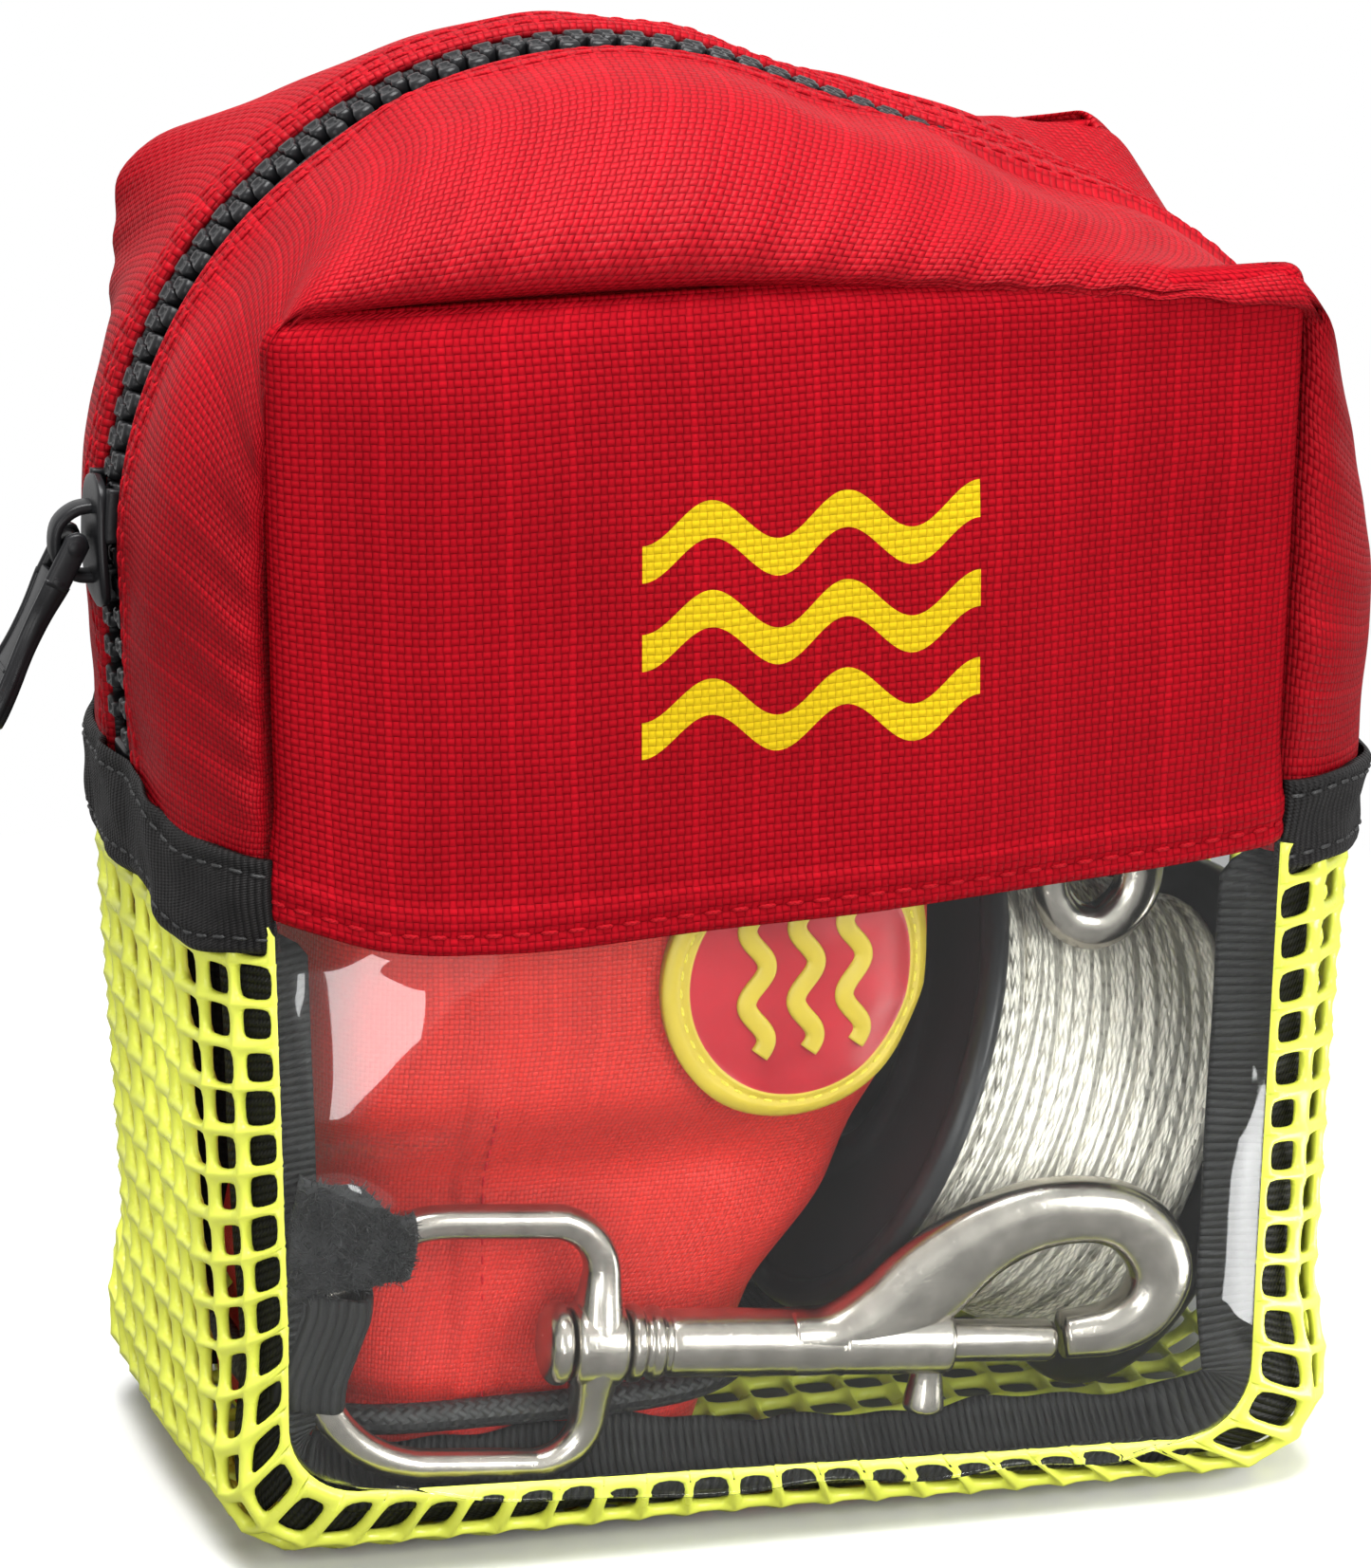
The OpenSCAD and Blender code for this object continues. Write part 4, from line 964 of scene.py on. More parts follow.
def make_film():
    """Clear window: a thin film that follows the face, buckled at its left, curled back at its right edge."""
    a, k = np.meshgrid(np.linspace(0, 1, 190), np.linspace(0, 1, 120), indexing="ij")
    half_width, width, thick, tucked = 63.4, 127.0, 0.35, 5.0
    x0 = half_width * (2 * a - 1)
    places = [-70, -63, -50, -28, 0, 30, 50, 62, 70]
    low = through(x0, places, [13.5, 12.6, 9.4, 7.3, 6.6, 6.0, 5.9, 7.2, 8.5])
    low = low + 0.35 * np.sin(x0 / 5) * soft((64 - np.abs(x0)) / 10)
    high = hem_line(x0) + tucked
    z = low + (high - low) * k
    p = face(a, np.maximum(z, FOOT_LEFT + (FOOT_RIGHT - FOOT_LEFT) * a + 0.01), 0.2, -1)
    p[..., 2] = z
    side = np.minimum(a, 1 - a) * width
    buckle = 0.17 * (z - 70) - 0.19 * (x0 + 56) + 1.8
    buckle = 0.5 * (buckle + np.sqrt(buckle**2 + 0.3)) - 3.2
    corner = soft((x0 + half_width) / 3) * soft((-34 - x0) / 14) * soft((z - 54) / 7) * soft((87 - z) / 8)
    wave = buckle * corner
    wave += 0.7 * np.sin((z + 0.7 * x0) / 2.2) * hump(x0, -54, 7) * hump(z, 52, 5)
    wave += 0.25 * np.sin(z / 5.2) * np.exp(-(64 - x0) / 6) * soft((56 - z) / 12)
    wave -= 1.2 * hump(x0, 56.8 - 0.09 * (46 - z), 5.5) * soft((56 - z) / 12)
    wave += 0.3 * ripple(x0, z, 30, 61) * (1 - hump(x0, -56, 9)) * (1 - hump(x0, 60, 7))
    wave += 0.5 * np.sin(x0 / 6.5 + z / 14) * np.exp(-(z - low) / 9)
    p[..., 1] += wave * soft(side / 4) * soft((high - z) / 10)
    p[..., 1] += 1.0 * np.exp(-side / 2.4) + 0.6 * np.exp(-(z - low) / 1.6)
    return piece("window_film", [lined(p, thick)], M_FILM, "pouch", ["window"])


def make_tape(sign):
    """Ribbed tape inside a seam: a strip along the gusset next to the face, a little wavy, all the way round.

    The front one is folded: its other leg stands inwards from the side seams, and along the foot it dips
    behind the film and leans back as a wavy lip, whose section is a row of (share, y, height over the foot).
    The leg is real tape; where it stands far inwards low down, its black is also painted shade for the dark
    inside of the pouch behind the window's edges and the net.
    """
    thick = 0.8
    s, k = np.meshgrid(np.linspace(0.004, 3.996, 560), np.linspace(0, 1, 30), indexing="ij")
    z0 = skin(s, 0 * s - 0.97)[..., 2]
    foot = soft((86 - z0) / 6)
    turn = 0.5 if sign < 0 else 0.0
    v = sign * (0.82 + 0.15 * foot - (0.11 + 0.09 * foot) * np.clip((k - turn) / (1 - turn), 0, 1))
    run = np.broadcast_to(run_length(skin(s[:, 20], v[:, 20]))[:, None], s.shape)
    lift = -1.95 - 0.35 * (1 + ripple(run, k * 8, 26, 71 + sign)) * soft(k)
    p = on_skin(s, v, lift)
    if sign < 0:
        way = np.gradient(p[:, -1], axis=0)
        inward = unit(np.stack([way[:, 2], 0 * way[:, 0], -way[:, 0]], -1))[:, None]
        leg = np.clip(1 - k / turn, 0, 1)
        # painted shade: low down the leg reaches 5 to 7.7 mm inwards so its black stands partly for the shade
        # inside the pouch
        wide = 0.7 + foot * np.where(s < 1.5, 4.3, 7.0)
        p = p + inward * (leg * wide)[..., None]
        p[..., 1] += leg * (1.0 + 0.4 * ripple(run, 0 * run, 22, 75))
        share, y, rise = np.array([
            (0, -28.6, 3.2), (0.12, -29.6, 1.0), (0.22, -31.2, -1.7), (0.31, -34.0, -3.6), (0.4, -37.0, -2.6),
            (0.47, -38.9, -0.6),
        ]).T
        rim = skin(s, 0 * s - 1)
        high = rim[..., 2] + np.interp(k, share, rise) + leg**2 * 0.9 * ripple(run, 0 * run, 19, 76)
        lowest = 4.3
        lip = np.stack(
            [rim[..., 0] * (1 - 0.03 * leg), np.interp(k, share, y), np.maximum(high, lowest)], -1
        )
        low = soft((s - 2.95) / 0.13) * soft((4.06 - s) / 0.13) + soft((0.06 - s) / 0.13)
        p = p + (lip - p) * (low * soft((turn - k) / 0.06))[..., None]
    where, sheet = FACE_NAME[sign], lined(p, thick)
    return piece(f"tape_{where}", [sheet], M_TAPE, "pouch", [f"seam_tape_{where}"])


# Zip
BEND = BELLY.corners[1]
ZIP_C = BEND.centre
ZIP_LOW = 99.0  # height of the zip's two ends
SIDE_L = [BELLY.length(k) for k in range(4)]
ZIP_FROM = BELLY.at_z(0, ZIP_LOW)
ZIP_TO = SIDE_L[0] + SIDE_L[1] + BELLY.at_z(2, ZIP_LOW)
ZIP_A = BEND.angle % TAU - SLIDER_PAST  # where round the bend the slider is parked
SLIDER_AT = sum(BELLY.parts(0)[:2]) + ZIP_R * SLIDER_PAST


def chain(d):
    """Points and normals on the zip's line over the top, at distances from the belly's lower left."""
    d = np.asarray(d, float)
    p, n = np.zeros(d.shape + (2,)), np.zeros(d.shape + (2,))
    start = 0.0
    for side in range(3):
        m = (d >= start) & ((d < start + SIDE_L[side]) | (side == 2))
        p[m], n[m] = BELLY.at(side, d[m] - start)
        start += SIDE_L[side]
    return in_xz(p), in_xz(n)


def parting(d):
    """How far each row of teeth stands aside below the slider."""
    return 1.9 * soft((SLIDER_AT + 1 - d) / 4)


def tooth_template(sign):
    """Moulded zip tooth: an outline with neck and head, bevelled at top and bottom, dipped in the head."""
    half = [(1.2, -3.5), (1.3, -2.9), (1.15, -1.9), (0.75, -1.2), (0.95, -0.5), (0.92, 0.25), (0.55, 0.6)]
    line = np.array(half + [(-x, y) for x, y in half[::-1]])
    line[:, 1] *= -sign
    mid = line.mean(0)
    lower = [(-3.1, 0), (-3.1, 0.82), (-2.75, 1)]
    upper = [(-0.5, 1), (-0.1, 0.8), (-0.1, 0.55), (-0.3, 0.4), (-0.3, 0)]
    rings = []
    for z, k in lower + upper:
        rings.append(np.column_stack([mid + (line - mid) * k, np.full(len(line), z)]))
    return np.concatenate(rings), grid_faces(len(rings), len(line), wrap_m=True)


def make_teeth(sign):
    """Row of teeth along one side of the chain; the two rows are half a pitch apart."""
    count = int((ZIP_TO - ZIP_FROM - TOOTH_PITCH) // TOOTH_PITCH)
    d = ZIP_FROM + (0 if sign < 0 else TOOTH_PITCH / 2) + np.arange(count + 1) * TOOTH_PITCH
    p, n = chain(d)
    side = np.broadcast_to(Y_AXIS, p.shape)
    axes = np.stack([np.cross(side, n), side, n], 1)
    row = copies(tooth_template(sign), p + side * (sign * parting(d))[:, None], axes)
    where = FACE_NAME[sign]
    return piece(f"zip_teeth_{where}", [row], M_TOOTH, "pouch", [f"teeth_{where}"])


def make_ziptape(sign):
    """Zip tape under the folded cloth, with a corded edge that carries the teeth."""
    past, inside, outside, sunk, thick = 4.0, 3.75, 12.0, 1.35, 0.6
    d = np.linspace(ZIP_FROM - past, ZIP_TO + past, 260)
    p, n = chain(d)
    inner = inside + parting(d - 3)
    k = np.linspace(0, 1, 9)
    y = sign * (inner[:, None] + (outside - inner)[:, None] * k)
    low = p[:, None] - n[:, None] * sunk + y[..., None] * Y_AXIS
    tape = slab(low, low - n[:, None] * thick)
    cord = p - n * (sunk + 0.3) + (sign * (inner + 0.35))[:, None] * Y_AXIS
    bead = loft(cord, n, Y_AXIS, 0.75, 0.6, sides=10)
    where, parts = FACE_NAME[sign], [tape, bead]
    return piece(f"zip_tape_cloth_{where}", parts, M_ZIPTAPE, "pouch", [f"zip_tape_{where}"])


def make_stop(d, name, node):
    """End stop of the zip: a rounded block clamped over both rows."""
    p, n = chain(np.array([d]))
    along = np.cross(Y_AXIS, n[0])
    t = np.linspace(-1, 1, 9)
    sunk, half_length, half_width, half_height = 1.6, 1.5, 3.6, 1.5
    path = p[0] - sunk * n[0] + t[:, None] * half_length * along
    size = 1 - np.abs(t) ** 6 * 0.35
    block = loft(path, Y_AXIS, n[0], half_width * size, half_height * size, sides=24, power=5)
    return piece(name, [block], M_TOOTH, "pouch", [node])


def bent(part):
    """Carries a part drawn straight (X along the chain, Z outwards) onto the zip's bend at the slider."""
    pts = np.asarray(part[0])
    a = ZIP_A + pts[:, 0] / ZIP_R
    r = ZIP_R + pts[:, 2]
    world = np.stack([ZIP_C[0] + r * np.cos(a), pts[:, 1], ZIP_C[1] + r * np.sin(a)], -1)
    return (world,) + tuple(part[1:])


def make_slider():
    """Slider: two shield-shaped plates, side lips, a wedge between the rows and an arched bridge."""
    half_length, half_plate, lip_y = 8.2, 0.75, 4.75
    t = np.linspace(-1, 1, 33)
    wide = through(t * half_length * 3, [-25, -18, -6, 6, 16, 22, 25], [3.7, 4.5, 5.0, 5.4, 5.4, 4.7, 3.2])
    wide = wide * (1 - np.abs(t) ** 14)
    parts = []
    for middle in (0.7 + half_plate, -3.6 - half_plate):
        path = np.stack([t * half_length, 0 * t, middle + 0 * t], -1)
        tall = half_plate * (1 - 0.4 * np.abs(t) ** 8)
        parts.append(loft(path, Y_AXIS, Z_AXIS, wide, tall, sides=28, power=5))
    wedge = np.linspace(3.4, 7.8, 9)[:, None] * X_AXIS - 1.45 * Z_AXIS
    parts.append(loft(wedge, Y_AXIS, Z_AXIS, 1.0, 2.4, sides=16, power=3))
    for side in (-1, 1):
        for low, high in ((-0.9, 1.2), (-4.1, -2.3)):
            x = np.linspace(-7.6, -1.0, 15)
            path = x[:, None] * X_AXIS + side * lip_y * Y_AXIS + (low + high) / 2 * Z_AXIS
            parts.append(loft(path, Y_AXIS, Z_AXIS, 0.6, (high - low) / 2, sides=14, power=4))
    rise = [(-4.4, 1.4), (-3.9, 4.0), (-2.3, 6.0)]
    arch = np.array(rise + [(0, 6.5)] + [(-x, z) for x, z in rise[::-1]])
    parts.append(flat_loft(smooth_path(in_xz(arch), 33), 0.7, 1.6, sides=16, power=4))
    return piece("zip_slider", [bent(p) for p in parts], M_TOOTH, "slider", ["slider"])


def make_pull():
    """Pull tab: two lugs on a pin and a waisted blade with a raised rim, a flared round end and grip ribs."""
    hang, pin_lift, end = math.radians(27), 4.4, -25.0
    far = ZIP_R + pin_lift
    at = np.array([ZIP_C[0] + far * math.cos(ZIP_A), 0, ZIP_C[1] + far * math.sin(ZIP_A)])
    z = np.linspace(-4.2, end, 60)
    wide = through(-z * 3, [0, 12, 18, 30, 42, 57, 69, 75, 80], [3.3, 3.3, 3.2, 2.6, 2.9, 4.3, 4.7, 4.1, 3.6])
    wide = wide * np.sqrt(np.clip((z - end + 0.25) / 1.2, 0.02, 1))
    thick = through(-z * 3, [0, 14, 25, 45, 72, 80], [1.5, 1.5, 1.25, 1.05, 1.2, 1.0])
    parts = [loft(z[:, None] * Z_AXIS, Y_AXIS, X_AXIS, wide, thick, sides=24, power=4)]
    for side in (-1, 1):
        edge = np.stack([0 * z, side * (wide - 0.55), z], -1)[2:-2]
        parts.append(loft(edge, Y_AXIS, X_AXIS, 0.5, thick[2:-2] + 0.25, sides=10, power=3))
    for low in (-17.5, -19.5, -21.5):
        rib = np.linspace(-3.1, 3.1, 11)[:, None] * Y_AXIS + low * Z_AXIS
        parts.append(loft(rib, Z_AXIS, X_AXIS, 0.4, 1.4, sides=10, power=3))
    for side in (-1, 1):
        lug = np.linspace(1.8, -5.5, 15)[:, None] * Z_AXIS + side * 2.5 * Y_AXIS
        size = np.sqrt(np.clip((1.95 - lug[:, 2]) / 1.2, 0.05, 1))
        parts.append(loft(lug, Y_AXIS, X_AXIS, 0.72, 1.65 * size, sides=16, power=3))
    pin = lathe([(-3.3, 0), (-3.3, 0.9), (-3.0, 1.25), (3.0, 1.25), (3.3, 0.9), (3.3, 0)], 24)
    parts.append(moved(pin, [Y_AXIS, X_AXIS, Z_AXIS], [0, 0, 0]))
    parts = [moved(p, turn_y(hang), at) for p in parts]
    return piece("zip_pull", parts, M_TOOTH, "pull", ["pull_tab"])


# Steel snaps
SNAP_AT = np.array([-22.0, -34.4, 26.2])  # middle of the swivel
SNAP_END = 46.0  # swivel to the barrel's end
SNAP_TURN = turn_y(math.radians(5))  # it leans down to the right


def on_snap(parts):
    """Parts drawn along X from the swivel, put at the swivel snap's place and lean."""
    return [moved(part, SNAP_TURN, SNAP_AT) for part in parts]


def hook_arm(end):
    """Cast hook drawn along X: rises from the barrel as a broad arm, bends round and comes back as the nose.

    Each point is (x from the barrel's end, height, half width, half depth).
    """
    x, height, wide, deep = np.array([
        (-21, 0.0, 4.2, 4.15), (-15, 0.5, 4.4, 4.1), (-9, 3.4, 5.3, 3.8), (-3.5, 8.0, 5.8, 3.4),
        (2.5, 13.2, 5.1, 3.3), (9, 16.4, 4.6, 3.4), (16, 17.3, 4.2, 3.6), (21.4, 16.2, 4.2, 3.7),
        (25.4, 12.7, 4.2, 3.7), (26.8, 8.6, 4.1, 3.7), (25.2, 4.3, 3.8, 3.6), (21.3, 1.7, 3.4, 3.4),
        (17.6, 1.0, 3.1, 3.2), (14.8, 0.7, 2.9, 3.1),
    ]).T
    q = smooth_path(np.column_stack([x + end, 0 * x, height, wide, deep]), 150)
    return flat_loft(q[:, :3], q[:, 3], q[:, 4], sides=28, power=2.3)


def arc(centre, r, start, end, count):
    """Points on an arc between two angles in degrees."""
    turns = np.radians(np.linspace(start, end, count))
    return [(centre[0] + r * math.cos(t), centre[1] + r * math.sin(t)) for t in turns]


def barrel(profile, slot_low, slot_high, slot_half, floor_r, sides=72):
    """Turned barrel with a slot along its underside: the radius drops to the bore inside the slot."""
    pts, faces, uv, mat = lathe(profile, sides)
    r = np.hypot(pts[:, 1], pts[:, 2])
    off = np.abs(pts[:, 1])
    inside = soft((slot_half + 0.2 - off) / 0.4)
    inside = inside * soft((pts[:, 0] - slot_low) / 0.5) * soft((slot_high - pts[:, 0]) / 0.5)
    inside = np.where((pts[:, 2] < 0) & (r > floor_r), inside, 0)
    pts = pts.copy()
    pts[:, 1:] *= (1 - inside * (1 - floor_r / np.maximum(r, 1e-6)))[:, None]
    return pts, faces, uv, mat


def make_eye():
    """Swivel eye: a D-shaped ring that thickens towards the hub on its straight side, with a turned boss."""
    bow = arc((-20, 0), 16, 90, 270, 25)
    straight = [(0.0, -4.5), (0.0, 0.0), (0.0, 4.5)]
    plan = bow + arc((-7, -9), 7, 270, 360, 9) + straight + arc((-7, 9), 7, 0, 90, 9)
    q = smooth_path(in_xz(np.array(plan + plan[:1])), 181)[:-1]
    hub = np.where(q[:, 0] > -8, hump(q[:, 2], 0, 7.0), 0)
    ring = flat_loft(q, 2.15 + 1.3 * hub, 2.25 + 2.9 * hub, sides=24, power=2.2, closed=True)
    line = [(-3.4, 2.7), (-3.4, 4.7), (-2.7, 5.4), (2.7, 5.4), (3.4, 4.7), (3.4, 2.7), (-3.4, 2.7)]
    boss = lathe(rounded(line, 0.5), sides=56)
    return piece("snap_eye_steel", on_snap([ring, boss]), M_STEEL, "pouch", ["snap_eye"])


def make_snap():
    """Bolt snap body: domed stud head, stud, ringed collar, slotted barrel and hook."""
    dome = [(-7.0, 0), (-7.0, 2.6), (-6.5, 4.3), (-5.5, 5.2), (-4.3, 5.2), (-3.75, 4.6), (-3.75, 0)]
    head = lathe(rounded(dome, 0.5), sides=56)
    stud = lathe([(-3.8, 0), (-3.8, 2.6), (3.8, 2.6), (3.8, 0)], 40)
    rings = [
        (3.75, 0), (3.75, 4.3), (4.3, 4.9), (5.3, 4.9), (5.9, 4.2), (6.4, 4.2), (6.9, 4.7), (7.8, 4.7),
        (8.4, 4.1), (9.5, 4.1), (9.5, 0),
    ]
    collar = lathe(rounded(rings, 0.3), sides=56)
    line = [(9.0, 0), (9.0, 4.15)] + [(x, 4.2 + 0.1 * math.sin(x / 9)) for x in np.linspace(9.4, 31.5, 24)]
    line += [(x, 4.3) for x in np.linspace(31.6, SNAP_END - 0.8, 40)]
    line += [(SNAP_END - 0.2, 4.0), (SNAP_END, 3.5), (SNAP_END, 2.8), (SNAP_END - 6, 2.78), (SNAP_END - 6, 0)]
    tube = barrel(line, slot_low=32.0, slot_high=60.0, slot_half=2.2, floor_r=2.85)
    parts = [head, stud, collar, tube, hook_arm(SNAP_END)]
    return piece("snap_body_steel", on_snap(parts), M_STEEL, "snap", ["snap_body"])


def gate_parts(start, end, r, thumb, drop, k):
    """Sliding gate: a round bolt with a domed end, and a flared thumb stud below it."""
    dome = [(end - 1.2, r), (end - 0.4, r * 0.85), (end, r * 0.5), (end, 0)]
    bolt = lathe([(start, 0), (start, r - 0.3), (start + 0.4, r)] + dome, 40)
    flare = np.array([
        (0, 0), (0, 2.0), (4.2, 2.0), (5.4, 2.15), (7.4, 2.5), (8.6, 2.65), (9.2, 2.3), (9.4, 1.2), (9.4, 0)
    ])
    stud = lathe(rounded(flare * [drop / flare[-1, 0], k], 0.4), 36)
    return [bolt, moved(stud, [Y_AXIS, Z_AXIS, -X_AXIS], [thumb, 0, 0])]


def make_gate():
    """The bolt snap's gate with its thumb button."""
    parts = gate_parts(start=28.0, end=60.0, r=2.7, thumb=43.5, drop=9.4, k=1.0)
    return piece("snap_gate_steel", on_snap(parts), M_STEEL, "gate", ["snap_gate"])


CLIP_AT = np.array([40.5, -17.9, 109.0444])  # middle of the double ended snap
CLIP_K = 0.72  # scale of its hooks against the swivel snap's
CLIP_END = 20.248  # its middle to the barrel's end
CLIP_TURN = np.array([[0.0, 0, 1], [0, -1, 0], [1, 0, 0]])  # upright, hooks to the right
FLIP = np.diag([-1.0, 1, 1])  # one half to the other


def make_clip():
    """Double ended snap: a slotted barrel with the same hook at each end, at a smaller scale."""
    hook = hook_arm(CLIP_END / CLIP_K)
    hook = (hook[0] * CLIP_K,) + hook[1:]
    line = [(0, 4.0)] + [(x, 4.0) for x in np.linspace(0.5, CLIP_END - 0.6, 40)]
    line += [(CLIP_END - 0.2, 3.8), (CLIP_END, 3.4), (CLIP_END, 2.35), (CLIP_END - 4, 2.3), (CLIP_END - 4, 0)]
    half = barrel(line, slot_low=CLIP_END - 11, slot_high=CLIP_END + 9, slot_half=1.9, floor_r=2.4, sides=56)
    parts = [moved(part, turn, CLIP_AT) for turn in (CLIP_TURN, CLIP_TURN @ FLIP) for part in (half, hook)]
    return piece("double_snap_steel", parts, M_STEEL, "pouch", ["double_body"])


def make_clip_gate(flip, name, node):
    """One gate of the double ended snap."""
    parts = gate_parts(start=12.0, end=CLIP_END + 10.08, r=2.214, thumb=CLIP_END - 2.4, drop=7.5, k=0.82)
    turn = CLIP_TURN @ FLIP if flip else CLIP_TURN
    return piece(name, [moved(p, turn, CLIP_AT) for p in parts], M_STEEL, node, [node])


# Webbing, buoy and spool
def make_strap():
    """Webbing loop round the eye with its tail running back: a flat band on a path, slanted and crumpled."""
    steps = 72
    t = np.arange(steps) / steps * TAU
    c, s = squarish(np.cos(t), 0.6), squarish(np.sin(t), 0.6)
    path = np.stack([-35.3 + 4.5 * c, 3.15 * s, 0.6 * np.sin(2 * t + 0.4)], -1)
    flat = np.cross(tangents(path, closed=True), Z_AXIS)
    band = loft(path, Z_AXIS, flat, 7.4, 0.55, sides=30, power=7, closed=True)
    tail = smooth_path([(-33.0, 3.0, 0), (-31.2, 4.6, 0), (-30.7, 8.0, 0), (-30.9, 12.2, 0)], 30)
    back = loft(tail, Z_AXIS, np.cross(tangents(tail), Z_AXIS), 6.2, 0.5, sides=30, power=7)
    for part in (band, back):
        part[0][:, 0] += 0.16 * part[0][:, 2] + 0.5 * np.sin(part[0][:, 2] / 2.3)
    return piece("strap_webbing", on_snap([band, back]), M_WEB, "pouch", ["strap_loop"])


def make_pile():
    """Fuzzy tab: a curled patch covered in small bent loops of pile, frayed at its upper edge."""
    n, m, count, thick = 34, 40, 1500, 0.9
    a, b = np.meshgrid(np.linspace(0, 1, n), np.linspace(0, 1, m), indexing="ij")
    x = -40.5 + 15.0 * a + 1.5 * np.sin(3 * b) * (a - 0.4)
    z = 6.8 + 3.0 * a + (16.5 - 8.0 * a) * b + 0.8 * ripple(a * 14, 0 * b, 9, 81) * b
    y = -2.9 - 0.9 * np.sin(2.4 * a + 0.3) * b + 0.35 * ripple(x, z, 6, 82) + 2.4 * b * b * (a - 0.35)
    front = np.stack([x, y - 0.5, z], -1)
    patch = slab(front, front + thick * Y_AXIS)
    rng = np.random.default_rng(83)
    u, w = rng.uniform(0, 1, (2, count))
    i, j = (u * (n - 1)).astype(int), (w * (m - 1)).astype(int)
    spot = front[i, j] + rng.uniform(-0.25, 0.25, (count, 3))
    frayed = np.outer(np.where(w > 0.93, 1.5, 0), Z_AXIS)
    out = unit(np.array([0, -1.0, 0.25]) + rng.normal(0, 0.5, (count, 3)) + frayed)
    side = unit(np.cross(out, rng.normal(0, 1, (count, 3))))
    steps, sides, length = 5, 4, 1.25
    t = np.linspace(0, 1, steps)[:, None]
    ring = np.arange(sides) / sides * TAU
    r = 0.09 * np.sqrt(1 - 0.8 * t**2)
    bend = 0.55 * t**2
    hair = np.stack(np.broadcast_arrays(length * t, bend + r * np.cos(ring), r * np.sin(ring)), -1)
    axes = np.stack([out, side, np.cross(out, side)], 1) * rng.uniform(0.6, 1.3, (count, 1, 1))
    fuzz = copies((hair.reshape(-1, 3), grid_faces(steps, sides, wrap_m=True)), spot, axes)
    piece("strap_pile", on_snap([fuzz]), M_PILE, "pouch")
    return piece("strap_patch", on_snap([patch]), M_PILE, "pouch", ["strap_tab"])


SPOOL_AT = np.array([41.0, 1.6, 42.5444])  # middle of the spool
SPOOL_LEAN, SPOOL_AWAY = math.radians(21.5), math.radians(4)  # dip of its axis, and its turn to the back
SPOOL_TURN = turn_z(SPOOL_AWAY) @ turn_y(SPOOL_LEAN)
SPOOL_HALF = 21.5  # half the spool's width
HUB_R = 18.0  # radius of the hub under the line
BUOY_L, BUOY_R, BUOY_BACK, BUOY_H = -57.5, 25.0, 33.6, 136.0  # left, right and back of the buoy, height
FLOOR_IN = 1.9  # height of the floor's inner face
ELASTIC_Z = 17.0  # height of the elastic round the buoy


def buoy_box(z):
    """Left, right, front and back of the buoy at a height: its right side keeps clear of the spool."""
    lean = (z - SPOOL_AT[2]) * math.sin(SPOOL_LEAN)
    flange = SPOOL_AT[0] + (lean - SPOOL_HALF) / (math.cos(SPOOL_LEAN) * math.cos(SPOOL_AWAY))
    right = np.minimum(BUOY_R, flange - 2.5 - 5 * soft((40 - z) / 15))
    front = -HALF + 12.6 - 7.6 * soft((z - 44) / 16)
    return BUOY_L + 0 * z, right, front, BUOY_BACK + 0 * z


def buoy_point(t, z, grow):
    """Point on the buoy's rounded outline at the angle t, moved outwards by grow."""
    left, right, front, back = buoy_box(z)
    x = (left + right) / 2 + ((right - left) / 2 + grow) * squarish(np.cos(t), 0.5)
    y = (front + back) / 2 + ((back - front) / 2 + grow) * squarish(np.sin(t), 0.5)
    return np.stack([x, y, z + 0 * t], -1)


def buoy_front_y(x, z):
    """Depth of the buoy's front at a place."""
    left, right, front, back = buoy_box(z)
    u = np.clip((x - (left + right) / 2) / ((right - left) / 2), -1, 1)
    return (front + back) / 2 - (back - front) / 2 * (1 - u**4) ** 0.25


